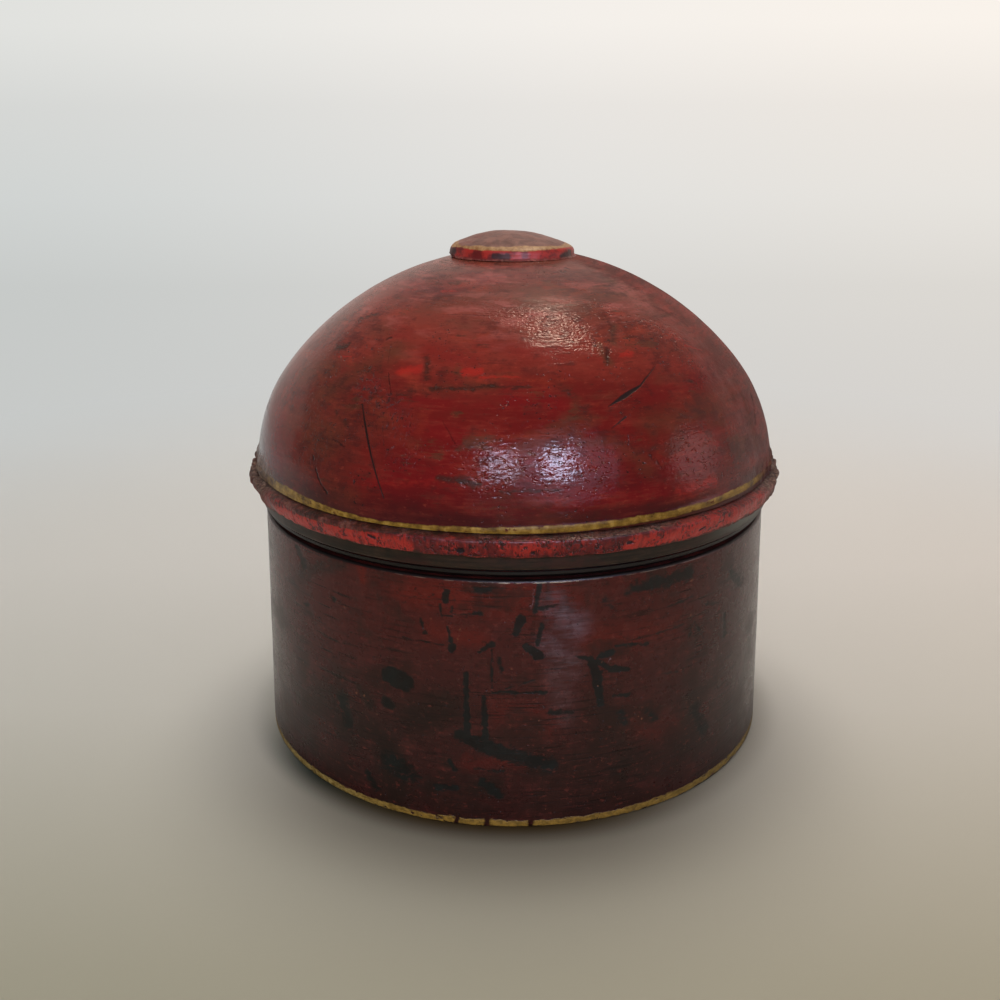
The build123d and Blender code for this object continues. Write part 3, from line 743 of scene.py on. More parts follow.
def makeBead(finishes):
    d = bead
    corners = [
        (d["rebateRadius"], d["bottom"]), (d["heelRadius"], d["bottom"]),
        (d["noseRadius"], d["noseLow"]), (d["noseRadius"], d["noseHigh"]),
        (d["topRadius"], d["top"]), (d["rebateRadius"], d["top"]),
    ]
    piece = bmesh.new()
    outline(piece, corners, {1: d["round"], 2: d["round"], 3: d["round"]})
    outside = (d["topRadius"] - d["fineTuck"]) * mm
    spaceOut(piece, d["gap"], lambda middle: middle.x > outside)
    spinRound(piece, d["steps"])
    for vertex in piece.verts:
        azimuth, radius, height = polar(vertex.co)
        if radius < d["topRadius"] - d["stillTuck"]:
            continue
        place = vertex.co
        start = d["endAzimuth"] + (d["endLater"] if azimuth > 0 else 0)
        end = along(abs(azimuth), start, start + d["endFade"])
        end *= along(abs(azimuth), d["endStop"], d["endStop"] - d["endFade"])
        shift = d["lump"] * (ripple(place, d["lumpSize"]) - d["lumpLevel"])
        shift += end * d["endLump"] * (ripple(place, d["endLumpSize"]) - d["endLumpLevel"])
        shift += d["flute"] * grain(place, d["fluteSize"], d["fluteUp"])
        low = max(0, 1 - (height - d["bottom"]) / d["chipHeight"])
        chips = ripple(place + Vector((d["chipShift"], 0, 0)), d["chipSize"])
        shift -= low * d["chip"] * max(0, chips - d["chipLevel"])
        vertex.co += vertex.normal * shift * mm
        reach = hypot(vertex.co.x, vertex.co.y) / mm
        if reach > d["mostRadius"]:
            vertex.co.x *= d["mostRadius"] / reach
            vertex.co.y *= d["mostRadius"] / reach
        vertex.co.z = min(vertex.co.z, (d["top"] + d["topSlack"]) * mm)
    made = stand(piece, "rimBead", finishes, sharp=50)
    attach(made, "lid")
    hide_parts("rim_bead")


button = {
    "radius": 21.2, "side": 3.4, "crown": 5.0, "flare": 0.5, "flareHeight": 1.3, "edgeRound": 1.6,
    "edgeSkip": 3, "tenonRadius": 6,
    "steps": 256, "gap": 0.6, "insideGap": 3,
    "lump": 0.42, "lumpSize": 9, "lumpLevel": 0.3, "dent": 0.12, "dentSize": 2.6,
    "peakTilt": 0.056, "peakSlack": 0.28,
    "swelling": 1.5, "swellingAzimuth": -82, "swellingReach": 24, "swellingFall": 3,
    "roughness": 0.36, "relief": 0.18, "specular": 0.36,
}

buttonShade = {  # dark places on the button's side: azimuth, height and so on
    "front": (-18, 169.3, -6, 168.9, 1.1, 1.4, 0.5, 1),
    "right": (50, 168.8, 66, 169.2, 0.9, 1.5, 0.6, 1),
    "left": (-100, 169.6, -70, 169.6, 1.6, 1.6, 0.8, 1),
}


def makeButton(finishes):
    d = button
    edge = lid["buttonSeat"] + d["side"]
    tenonEnd = lid["crownLevel"] + sqrt((lid["crownRadius"] - lid["wall"]) ** 2 - d["tenonRadius"] ** 2)
    capRadius = (d["radius"] ** 2 + d["crown"] ** 2) / (2 * d["crown"])
    halfAngle = asin(d["radius"] / capRadius)
    arcCount = round(capRadius * halfAngle / d["gap"])
    cap = [
        (capRadius * sin(halfAngle * step / arcCount),
         edge + d["crown"] - capRadius * (1 - cos(halfAngle * step / arcCount)))
        for step in range(arcCount, -1, -1)
    ]
    corners = [
        (0, tenonEnd), (d["tenonRadius"], tenonEnd), (d["tenonRadius"], lid["buttonSeat"]),
        (d["radius"] + d["flare"], lid["buttonSeat"]),
        (d["radius"], lid["buttonSeat"] + d["flareHeight"]),
    ] + cap[:1] + cap[d["edgeSkip"]:]
    piece = bmesh.new()
    outline(piece, corners, {5: d["edgeRound"]})
    spaceOut(piece, d["gap"], lambda middle: middle.z > lid["buttonSeat"] * mm)
    spaceOut(piece, d["insideGap"])
    spinRound(piece, d["steps"])
    highest = (edge + d["crown"] + d["peakSlack"]) * mm
    for vertex in piece.verts:
        azimuth, _, height = polar(vertex.co)
        if height < lid["buttonSeat"] + 2 * hair:
            continue
        place = vertex.co.copy()
        lift = (height - lid["buttonSeat"]) / (d["side"] + d["crown"])
        vertex.co.z -= d["peakTilt"] * lift * place.x
        shift = d["lump"] * (ripple(place, d["lumpSize"]) - d["lumpLevel"])
        shift += d["dent"] * ripple(place, d["dentSize"])
        swelling = max(0, 1 - abs(azimuth - d["swellingAzimuth"]) / d["swellingReach"])
        swelling = swelling ** 2 * (3 - 2 * swelling) * max(0, 1 - lift ** 2 * d["swellingFall"])
        shift += d["swelling"] * swelling
        vertex.co += vertex.normal * shift * mm
        vertex.co.z = min(vertex.co.z, highest)
    made = stand(piece, "crownButton", finishes)
    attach(made, "lid")
    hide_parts("lid_button")


drumTones = {
    "foot": (52, 24, 23), "low": (56, 26, 25), "high": (66, 29, 28), "mouth": (76, 27, 25),
    "worn": (108, 50, 47), "flush": (108, 30, 22), "dark": (38, 20, 16), "cloud": (32, 24, 21),
    "dull": (54, 29, 30), "lowDark": (34, 21, 17), "scratch": (25, 14, 13),
    "fineDark": (34, 19, 17), "finePale": (116, 54, 48), "hazeLow": (112, 86, 92),
    "hazeHigh": (124, 106, 122), "stainWarm": (16, 16, 14), "stainCold": (19, 24, 22),
    "smear": (24, 21, 19), "speck": (22, 16, 14), "tan": (140, 86, 62), "gilt": (160, 126, 56),
    "giltLeft": (172, 150, 90), "giltRight": (136, 114, 62), "giltWorn": (104, 82, 34),
    "underside": (22, 22, 22), "rim": (12, 11, 11), "bare": (184, 174, 160),
}


def drumFinish():
    paint = Finish("drumLacquer", drumTones)
    ragged = paint.shaken(0.85, 2.2)
    loose = paint.shaken(4, 11)
    broad = paint.noise(paint.drawn(1.8, 1), 24, 4, 0.55)
    mottle = paint.noise(paint.here, 6, 5, 0.62)
    patches = paint.noise(paint.drawn(1.5, 1), 11, 4, 0.56)
    streaks = paint.noise(paint.drawn(14, 1), 0.9, 4, 0.6)
    uprights = paint.noise(paint.drawn(1, 9), 1.1, 3, 0.55)
    fine = paint.noise(paint.drawn(1.6, 1), 1.4, 4, 0.68)
    level = (paint.z + (broad - 0.5) * 34) / drum["height"]
    paint.colour = paint.ramp(level, [(0.0, "foot"), (0.34, "low"), (0.62, "high"), (1.0, "mouth")])
    worn = (mottle * 0.8 + patches * 0.5 + (streaks - 0.5) * 0.35).rise(0.62, 0.84)
    paint.lay(worn * 0.55, "worn")
    red = paint.marks(loose, drumFlush, drumSide)
    paint.lay(red * 0.7, "flush")
    dark = (mottle * 0.5 + patches * 0.6 + (uprights - 0.5) * 0.2).rise(0.53, 0.68)
    paint.lay(dark * 0.6, "dark")
    # soft stains, and the painted shade band under the lid's edge
    cloudsAndShade = paint.marks(loose, drumCloudsAndShade, drumSide, 0.6) * (mottle * 0.9 + 0.5) & 1.0
    paint.lay(cloudsAndShade * 0.85, "cloud")
    rightDull = (paint.azimuth + (mottle - 0.5) * 30).rise(14, 60) * abs(paint.azimuth).rise(150, 110)
    paint.lay(rightDull * 0.55, "dull")
    lowDark = (patches - (paint.z / 83) * 0.22).rise(0.36, 0.52)
    paint.lay(lowDark * 0.5, "lowDark")
    scratch = paint.noise(paint.drawn(26, 1), 0.6, 2, 0.5).rise(0.56, 0.65) * broad.rise(0.36, 0.56)
    paint.lay(scratch * 0.75, "scratch")
    paint.lay(fine.rise(0.54, 0.7) * 0.6, "fineDark")
    paint.lay(fine.rise(0.43, 0.3) * 0.42, "finePale")
    combed = paint.noise(paint.drawn(9, 1), 0.8, 3, 0.6)
    # blue-grey bloom over the front, partly a painted reflection of the floor, with two painted glints
    hazeAndReflection = paint.marks(paint.shaken(2, 5), drumHazeAndReflection, drumSide)
    hazeAndReflection = hazeAndReflection * (0.15 + combed.rise(0.4, 0.62) * 0.55 + mottle.rise(0.4, 0.65) * 0.45)
    paint.lay(hazeAndReflection * 0.5, paint.mix(paint.z.rise(50, 66), "hazeLow", "hazeHigh"))
    stains = paint.marks(ragged, drumStains, drumSide, 0.32)
    stains = (stains + (fine - 0.5) * 1.6 + (mottle - 0.5) * 0.6).rise(0.26, 0.74) * stains.rise(0.0, 0.2)
    paint.lay(stains * 0.92, paint.mix(mottle.rise(0.4, 0.6), "stainWarm", "stainCold"))
    smears = paint.noise(paint.drawn(2.2, 1), 5.4, 4, 0.6).rise(0.56, 0.64)
    smears = smears | paint.noise(paint.drawn(7, 1), 1.8, 3).rise(0.62, 0.7)
    smears = smears * abs(paint.azimuth).rise(56, 84) * broad.rise(0.38, 0.56)
    paint.lay(smears * 0.7, "smear")
    specks = paint.noise(paint.here, 1.1, 2, 0.5).rise(0.68, 0.74)
    paint.lay(specks * 0.7, "speck")
    tan = paint.noise(paint.here, 2.2, 2, 0.5).rise(0.74, 0.78)
    paint.lay(tan * 0.6, "tan")
    edge = (mottle - 0.5) * 1.8 + (fine - 0.5) * 2.0 + paint.z - paint.beyond(15, 50, 0.7)
    gold = edge.within(0.3, 2.6, 0.25) * paint.noise(paint.drawn(1.6, 1), 2.2, 4, 0.66).rise(0.34, 0.42)
    gold = gold * (1 - paint.marks(paint.shaken(0.6, 1.6), drumBreaks, drumSide))
    pale = paint.mix(paint.beyond(-15, -45), "gilt", "giltLeft")
    pale = paint.mix(paint.beyond(15, 45) * 0.8, pale, "giltRight")
    goldTone = paint.mix(fine.rise(0.3, 0.7), "giltWorn", pale)
    paint.lay(gold, goldTone)
    # painted shade: the lowest millimetre of the foot is darkened as contact shadow
    under = (paint.z + (mottle - 0.5) * 0.8).rise(0.8, 0.2) * (1 - gold)
    paint.lay(under * 0.85, "underside")
    top = drum["height"]
    # painted shade: the drum's top edge is near-black where the gap under the lid lies in shade
    rim = (paint.z + (fine - 0.5) * 0.3).rise(top - 0.85, top - 0.55)
    paint.lay(rim * 0.95, "rim")
    # pale dashes on the mouth's rounded edge: a worn bare edge and a painted highlight
    bare = paint.z.within(top - 0.96, top - 0.7, 0.1)
    bare = bare * paint.noise(paint.drawn(2.4, 1), 1.4, 3, 0.6).rise(0.48, 0.55)
    bare = bare * (paint.azimuth.within(-3, 13, 4) * 0.75 + paint.azimuth.within(-24, 38, 8) * 0.2)
    paint.lay(bare * 0.9, "bare")
    roughness = drum["roughness"] + stains * 0.12 + (mottle - 0.5) * 0.18 + lowDark * 0.06
    roughness = roughness + gold * 0.2 + rim * 0.1
    height = streaks * 0.25 + mottle * 0.45 + fine * 0.4 + uprights * 0.12
    height = height - scratch * 0.15 - specks * 0.6 + gold * 0.9 - stains * 0.3
    return paint.done(roughness, paint.bump(height, drum["relief"]), drum["specular"])


def innerFinish(name, main, worn):  # brushed lacquer where hands and leaves have rubbed it
    paint = Finish(name, {"main": main, "worn": worn, "speck": (24, 15, 13)})
    streaks = paint.noise(paint.drawn(12, 1), 1.0, 4, 0.6)
    mottle = paint.noise(paint.here, 9, 5, 0.62)
    paint.colour = paint.mix((mottle + (streaks - 0.5) * 0.6).rise(0.42, 0.72), "main", "worn")
    specks = paint.noise(paint.here, 1.4, 2).rise(0.66, 0.73)
    paint.lay(specks * 0.6, "speck")
    height = streaks * 0.6 + mottle * 0.5
    return paint.done(0.36 + mottle * 0.18, paint.bump(height, 0.08))


def woodFinish():  # the bare foot
    paint = Finish("bareFoot", {"dark": (58, 38, 26), "pale": (104, 74, 50)})
    rings = paint.noise(paint.drawn(1, 1, paint.radius * 3), 3, 4, 0.6)
    paint.colour = paint.mix(rings, "dark", "pale")
    return paint.done(0.6 + rings * 0.1, paint.bump(rings, 0.12))


domeTones = {
    "foot": (70, 20, 24), "low": (96, 18, 21), "side": (116, 22, 21), "sideHigh": (112, 26, 23),
    "shoulder": (134, 46, 36), "shoulderHigh": (138, 60, 48), "crown": (124, 57, 46),
    "crownTop": (128, 68, 56), "brown": (96, 54, 38), "orange": (162, 58, 38),
    "pink": (172, 88, 80), "crimson": (134, 18, 24), "sideBrown": (98, 54, 38),
    "light": (168, 62, 50), "olive": (86, 56, 36), "dark": (58, 22, 22), "flush": (186, 42, 34),
    "grime": (42, 32, 24), "fineDark": (62, 28, 22), "finePale": (178, 74, 56),
    "footShade": (54, 18, 24), "crustDark": (50, 36, 30), "crust": (122, 96, 80),
    "edgeDark": (80, 30, 24), "edge": (126, 38, 30), "check": (34, 18, 18), "speck": (30, 18, 17),
    "scratch": (30, 8, 9), "crack": (20, 9, 8), "giltDark": (80, 57, 26), "gilt": (138, 106, 42),
    "giltPale": (184, 148, 70), "underLine": (74, 34, 28),
}


def domeFinish():
    paint = Finish("domeLacquer", domeTones)
    rise = paint.maths("ARCTAN2", paint.z - lid["bandBottom"], paint.radius) * lid["footRadius"]
    ragged = paint.shaken(0.9, 2.6)
    loose = paint.shaken(3.5, 9)
    broad = paint.noise(paint.drawn(2.2, 1, rise), 18, 4, 0.58)
    streaks = paint.noise(paint.drawn(12, 1, rise), 1.0, 5, 0.62)
    brush = paint.noise(paint.drawn(5, 1, rise), 3.6, 4, 0.6)
    mottle = paint.noise(paint.here, 4.5, 5, 0.62)
    fine = paint.noise(paint.drawn(2, 1, rise), 1.3, 4, 0.66)
    level = (rise + (broad - 0.5) * 26 + (brush - 0.5) * 12) / 140
    paint.colour = paint.ramp(level, [
        (0.05, "foot"), (0.13, "low"), (0.24, "side"), (0.35, "sideHigh"),
        (0.45, "shoulder"), (0.56, "shoulderHigh"), (0.7, "crown"), (0.86, "crownTop"),
    ])
    brown = paint.noise(paint.drawn(2.0, 1, rise), 13, 4, 0.55)
    paint.lay(brown.rise(0.52, 0.66) * 0.5, "brown")
    orange = paint.noise(paint.drawn(1.6, 1, rise), 8.6, 4, 0.58)
    orange = orange.rise(0.54, 0.68) * (paint.z.rise(112, 132) * 0.7 + 0.3)
    paint.lay(orange * 0.5, "orange")
    # pink patches towards the top, partly the lacquer's own pink and partly a painted sheen
    pink = paint.noise(paint.drawn(2.8, 1, rise), 6, 4, 0.6).rise(0.5, 0.66) * paint.z.rise(138, 158)
    paint.lay(pink * 0.85, "pink")
    crimson = paint.marks(loose, lidCrimson, domeSide) * (brush * 0.8 + 0.6) & 1.0
    crimson = crimson | paint.noise(paint.drawn(2.4, 1, rise), 10.4, 3, 0.55).rise(0.56, 0.7) * 0.6
    paint.lay(crimson * 0.54, "crimson")
    side = paint.noise(paint.here, 34, 3, 0.5) + abs(paint.azimuth + 4) / 250
    paint.lay(side.rise(0.58, 0.86) * 0.5, "sideBrown")
    light = (streaks * 0.45 + brush * 0.45 + mottle * 0.3).rise(0.56, 0.76)
    paint.lay(light * 0.42, "light")
    olive = paint.marks(loose, lidOlive, domeSide)
    rubbed = paint.noise(paint.drawn(2, 1, rise), 10, 5, 0.66) + (streaks - 0.5) * 0.3
    olive = olive | rubbed.rise(0.58, 0.68)
    olive = olive * (fine * 1.0 + mottle * 0.8 - 0.1) & 1.0
    paint.lay(olive * 0.72, "olive")
    dark = (streaks * 0.35 + mottle * 0.5 + broad * 0.35).rise(0.58, 0.72)
    paint.lay(dark * 0.6, "dark")
    flush = paint.marks(ragged, lidFlush, domeSide, 0.3)
    flush = (flush + (fine - 0.5) * 1.2).rise(0.25, 0.95) * flush.rise(0.0, 0.3)
    paint.lay(flush * 0.7, "flush")
    grime = paint.marks(ragged, lidGrime, domeSide, 0.4)
    grime = (grime + (fine - 0.5) * 1.3 + (mottle - 0.5) * 0.6).rise(0.3, 1.0) * grime.rise(0.0, 0.25)
    paint.lay(grime * 0.8, "grime")
    paint.lay(fine.rise(0.56, 0.72) * 0.4, "fineDark")
    paint.lay(fine.rise(0.42, 0.28) * 0.3, "finePale")
    foot = (paint.z + (brush - 0.5) * 8 + (mottle - 0.5) * 4).rise(107, 99.8)
    paint.lay(foot * 0.55, "footShade")
    around = abs(paint.azimuth + (mottle - 0.5) * 14)
    ends = around.rise(56, 66) * around.rise(122, 108) * (paint.z + (mottle - 0.5) * 10).rise(107, 102)
    paint.lay(ends * 0.8, paint.mix(fine.rise(0.36, 0.56), "crustDark", "crust"))
    rightEdge = (paint.azimuth + (mottle - 0.5) * 16).rise(48, 68) * paint.azimuth.rise(130, 100)
    paint.lay(rightEdge * 0.5, paint.mix(brush.rise(0.4, 0.6), "edgeDark", "edge"))
    checks = paint.noise(paint.drawn(1, 12, rise), 0.75, 3, 0.6).rise(0.56, 0.64)
    checks = checks * (paint.marks(loose, lidChecks, domeSide) | side.rise(0.7, 0.9) * 0.4)
    paint.lay(checks * 0.75, "check")
    speckPatch = paint.noise(paint.here, 15, 2).rise(0.46, 0.62) + side.rise(0.6, 0.85) * 0.5
    specks = paint.noise(paint.drawn(1.5, 1, rise), 0.8, 2, 0.5).rise(0.64, 0.7) * speckPatch & 1.0
    paint.lay(specks * 0.8, "speck")
    near = paint.shaken(0.14, 0.9)
    cracks = paint.marks(near, lidCracks, domeSide)
    scratches = paint.marks(paint.shaken(0.5, 1.5), lidScratches, domeSide)
    scratches = scratches * paint.noise(paint.here, 2.4, 2, 0.6).rise(0.28, 0.5)
    paint.lay(scratches * 0.9, "scratch")
    paint.lay(cracks * 0.95, "crack")
    wander = (paint.noise(paint.here, 2.4, 3, 0.6) - 0.5) * 0.9
    wander = wander + (paint.noise(paint.here, 13, 2) - 0.5) * 1.1
    line = paint.z - paint.x * lid["lineSlope"] + wander
    left = paint.beyond(-26, -54)
    half = left * 1.05 + 1.05
    gold = (abs(line - lid["lineHeight"] - left * 1.75) - half).rise(0.24, -0.24)
    gold = gold * paint.noise(paint.drawn(1.4, 1), 2.6, 3, 0.62).rise(0.3, 0.4)
    goldTone = fine * 0.4 + mottle * 0.6
    goldTone = paint.ramp(goldTone, [(0.36, "giltDark"), (0.5, "gilt"), (0.66, "giltPale")])
    under = line.rise(lid["lineHeight"] - 0.2, lid["lineHeight"] - 0.6)
    paint.lay(under * 0.9, "underLine")
    paint.lay(gold * (1 - ends * 0.9), goldTone)
    roughness = lid["roughness"] + (mottle - 0.5) * 0.1 + olive * 0.12 + grime * 0.15
    roughness = roughness + gold * 0.14 + ends * 0.25
    roughness = roughness + cracks * 0.25 + rightEdge * 0.34 + paint.z.rise(146, 164) * 0.14
    roughness = roughness + paint.azimuth.rise(30, 44) * paint.azimuth.rise(130, 100) * 0.12
    wrinkled = paint.marks(paint.here, lidWrinkles, domeSide)
    sideWrinkles = paint.noise(paint.here, 24, 2).rise(0.54, 0.7) * 0.4
    wrinkled = wrinkled | sideWrinkles * abs(paint.azimuth).rise(55, 80)
    combed = paint.marks(paint.here, lidCombed, domeSide)
    pits = paint.noise(paint.drawn(1.5, 1, rise), 0.74, 1.5, 0.5)
    lines = paint.noise(paint.drawn(5, 1, rise), 0.85, 2, 0.55)
    holes = paint.noise(paint.drawn(1.6, 1, rise), 1.2, 1, 0.5).rise(0.58, 0.7)
    height = streaks * 0.06 + pits * (wrinkled * 0.17 + combed * 0.75 + rightEdge * 0.26 + 0.07)
    height = height + lines * (wrinkled * 0.22 + combed * 0.7 + rightEdge * 0.34 + 0.07)
    height = height - holes * wrinkled * 0.8
    height = height + mottle * 0.3 + brush * 0.2
    height = height - cracks * 0.1 - scratches * 0.2 - specks * 0.3 - checks * 0.3 + ends * fine
    return paint.done(roughness, paint.bump(height, lid["relief"]), lid["specular"])


skirtTones = {
    "band": (29, 21, 15), "bandPale": (56, 40, 30), "redPatch": (56, 26, 22), "grime": (26, 23, 16),
    "upper": (26, 22, 15), "strip": (14, 13, 12), "stripPale": (32, 29, 25), "sheen": (96, 98, 90),
    "gap": (9, 9, 9),
}


def skirtFinish():  # the brown band and the grey strip under the bead
    paint = Finish("skirtLacquer", skirtTones)
    streaks = paint.noise(paint.drawn(14, 1), 0.8, 4, 0.6)
    mottle = paint.noise(paint.here, 4, 5, 0.62)
    fine = paint.noise(paint.drawn(3, 1), 1.4, 4, 0.66)
    paint.colour = paint.mix(streaks.rise(0.3, 0.7), "band", "bandPale")
    paint.lay(paint.noise(paint.drawn(2, 1), 7, 3).rise(0.5, 0.64) * 0.6, "redPatch")
    paint.lay((mottle * 0.7 + fine * 0.4).rise(0.5, 0.68) * 0.7, "grime")
    upper = paint.z + (mottle - 0.5) * 3 + (fine - 0.5)
    upper = upper.rise(lid["beadBottom"] - 1.3, lid["beadBottom"] - 0.3)
    paint.lay(upper * 0.7, "upper")
    # painted shade: the strip under the bead is painted near-black
    strip = paint.z.rise(lid["stripTop"] + 0.3, lid["stripTop"])
    paint.lay(strip * 0.9, paint.mix(fine, "strip", "stripPale"))
    sheen = paint.azimuth.within(47, 66, 9)
    wavy = paint.z + (mottle - 0.5) * 2
    sheen = sheen * wavy.within(lid["bandBottom"] + 1.1, lid["beadBottom"] - 0.5, 0.8)
    paint.lay(sheen * 0.8, "sheen")
    # painted shade: black in the groove between strip and band, and along the strip's lower edge
    gap = paint.z.within(lid["stripTop"] - 0.2, lid["bandBottom"] + 0.15, 0.1)
    gap = gap | paint.z.rise(lid["stripBottom"] + 0.25, lid["stripBottom"] - 0.05)
    paint.lay(gap * 0.95, "gap")
    height = streaks * 0.6 + mottle * 0.5 + fine * 0.3
    roughness = lid["skirtRoughness"] + mottle * 0.14
    return paint.done(roughness, paint.bump(height, lid["skirtRelief"]), lid["skirtSpecular"])


beadTones = {
    "red": (84, 22, 25), "bright": (168, 42, 35), "chip": (36, 22, 18), "fleck": (100, 30, 27),
    "split": (34, 16, 15), "hole": (16, 11, 11), "slopeDark": (36, 25, 20), "slope": (88, 43, 36),
    "slopePale": (130, 80, 68), "slopeTop": (34, 28, 20), "low": (36, 29, 20), "lip": (176, 60, 48),
    "crackleDark": (44, 33, 27), "crackle": (108, 84, 69), "cracklePale": (146, 122, 104),
    "redCrust": (126, 46, 38),
}


def beadFinish():
    paint = Finish("beadLacquer", beadTones)
    flutes = paint.noise(paint.drawn(1, 7), 0.95, 4, 0.6)
    mottle = paint.noise(paint.here, 4.5, 5, 0.62)
    fine = paint.noise(paint.here, 1.3, 4, 0.6)
    patch = paint.noise(paint.here, 16, 3, 0.6) * 0.45 + flutes * 0.35 + mottle * 0.35
    bright = paint.marks(paint.shaken(2, 6), beadBright, lambda height: bead["brightRadius"])
    paint.colour = paint.mix((patch + bright * 0.2).rise(0.5, 0.7), "red", "bright")
    chips = (mottle * 0.6 + fine * 0.5 - bright * 0.04).rise(0.56, 0.63)
    paint.lay(chips * 0.85, "chip")
    flecks = paint.noise(paint.drawn(1, 3), 1.5, 3, 0.62).rise(0.54, 0.63)
    paint.lay(flecks * 0.6, "fleck")
    splits = abs(paint.noise(paint.drawn(1, 5), 3, 3, 0.6) - 0.5).rise(0.02, 0.004)
    splits = splits * mottle.rise(0.42, 0.56)
    paint.lay(splits * 0.85, "split")
    holes = paint.marks(paint.here, beadHoles, lambda height: bead["holeRadius"])
    paint.lay(holes * 0.95, "hole")
    top = bead["faceTop"] - paint.azimuth.rise(-14, -34, 1.8) + paint.azimuth.rise(-44, -55, 1.9)
    top = top - paint.azimuth.within(8, 24, 6) * 0.9 + paint.beyond(24, 44, 0.45) + (fine - 0.5) * 1.6
    slope = (paint.z - top).rise(-0.12, 0.12)
    slopeTone = flutes * 0.4 + mottle * 0.6
    slopeTone = paint.ramp(slopeTone, [(0.41, "slopeDark"), (0.5, "slope"), (0.6, "slopePale")])
    upper = (paint.z + (fine - 0.5)).rise(bead["top"] - 0.7, bead["top"] - 0.1)
    slopeTone = paint.mix(upper * 0.8, slopeTone, "slopeTop")
    paint.lay(slope * 0.9, slopeTone)
    low = paint.z + (mottle - 0.5) * 4.6 + (fine - 0.5) * 1.6 - paint.beyond(22, 60, 0.8)
    low = low.rise(bead["bottom"] + 1.1, bead["bottom"] + 0.2)
    paint.lay(low * 0.85, "low")
    # a painted highlight along the bead's lower edge
    lip = paint.z.within(bead["bottom"] + 0.15, bead["bottom"] + 0.75, 0.12) * (1 - low)
    paint.lay(lip * 0.5, "lip")
    fromFront = abs(paint.azimuth) + (mottle - 0.5) * 22 - paint.azimuth.rise(0, 10, bead["endLater"])
    ends = fromFront.rise(bead["endAzimuth"] - 6, bead["endAzimuth"] + 5)
    ends = ends * abs(paint.azimuth + (mottle - 0.5) * 22).rise(126, 106)
    settings = {"feature": "DISTANCE_TO_EDGE"}
    sockets = {"Vector": paint.shaken(1.1, 2), "Scale": 1 / 1.9}
    cells = paint.node("ShaderNodeTexVoronoi", settings, sockets)
    crackle = cells + (fine - 0.5) * 0.4
    crackle = paint.ramp(crackle, [(0.0, "crackleDark"), (0.16, "crackle"), (0.5, "cracklePale")])
    redPatch = paint.noise(paint.here, 6, 3).rise(0.44, 0.56)
    redPatch = redPatch * paint.z.rise(bead["top"] - 0.9, bead["bottom"] + 3.7)
    crackle = paint.mix(redPatch * 0.6, crackle, "redCrust")
    paint.lay(ends * 0.85, crackle)
    roughness = bead["roughness"] + (mottle - 0.5) * 0.3 + ends * 0.25 + holes * 0.4 + low * 0.2
    height = flutes * 0.6 + fine * 0.8 - chips * 0.9 - splits * 0.9 - holes * 2.0
    height = height + cells * ends * 2.5
    return paint.done(roughness, paint.bump(height, bead["relief"]), bead["specular"])


buttonTones = {
    "top": (106, 66, 55), "topPale": (142, 94, 80), "topRed": (120, 52, 42), "ring": (156, 108, 64),
    "ringPale": (194, 152, 104), "side": (184, 48, 40), "sideDark": (112, 26, 26),
    "shade": (38, 26, 28), "seam": (96, 36, 32), "seamPale": (150, 90, 80),
}


def buttonFinish():
    paint = Finish("buttonLacquer", buttonTones)
    mottle = paint.noise(paint.here, 5, 5, 0.6)
    fine = paint.noise(paint.here, 1.3, 4, 0.6)
    edge = lid["buttonSeat"] + button["side"]
    paint.colour = paint.mix((mottle * 0.8 + fine * 0.25).rise(0.4, 0.66), "top", "topPale")
    paint.lay(paint.noise(paint.drawn(4, 1), 2.4, 3).rise(0.56, 0.66) * 0.4, "topRed")
    slow = paint.noise(paint.here, 12, 3, 0.5)
    wavy = paint.radius + (slow - 0.5) * 6 + (fine - 0.5) * 0.3 + paint.x * 0.03
    ring = wavy.rise(button["radius"] - 2.9, button["radius"] - 2.2)
    level = paint.z + (slow - 0.5) * 1.6 + (fine - 0.5) * 0.4
    ringTone = paint.mix(fine.rise(0.3, 0.7), "ring", "ringPale")
    paint.lay(ring * 0.92, ringTone)
    side = level.rise(edge + 0.1, edge - 0.25)
    sideTone = paint.mix(mottle.rise(0.46, 0.62), "side", "sideDark")
    shade = paint.marks(paint.shaken(1.2, 3), buttonShade, lambda height: button["radius"])
    sideTone = paint.mix(shade * 0.9, sideTone, "shade")
    paint.lay(side, sideTone)
    seam = (paint.z + (mottle - 0.5) * 1.6).rise(lid["buttonSeat"] + 0.9, lid["buttonSeat"] + 0.3)
    paint.lay(seam * 0.75, paint.mix(fine.rise(0.4, 0.6), "seam", "seamPale"))
    height = mottle * 0.9 + fine * 0.4
    roughness = button["roughness"] + mottle * 0.14
    return paint.done(roughness, paint.bump(height, button["relief"]), button["specular"])


def smallFinish(name, main, worn):  # tray, cups and cup lids
    paint = Finish(name, {"main": main, "worn": worn, "speck": (30, 16, 14)})
    streaks = paint.noise(paint.here, 2.2, 4, 0.6)
    mottle = paint.noise(paint.here, 7, 5, 0.62)
    paint.colour = paint.mix((mottle * 0.7 + streaks * 0.4).rise(0.4, 0.7), "main", "worn")
    specks = paint.noise(paint.here, 1.2, 2).rise(0.66, 0.73)
    paint.lay(specks * 0.6, "speck")
    height = streaks * 0.6 + mottle * 0.4
    return paint.done(0.32 + mottle * 0.14, paint.bump(height, 0.07), 0.42)


camera = {
    "place": (0, -383.07, 203.3), "lens": 38.81, "sensor": 36,
    "tiltDown": 18.08, "turnLeft": 0.76, "roll": -0.17,
}

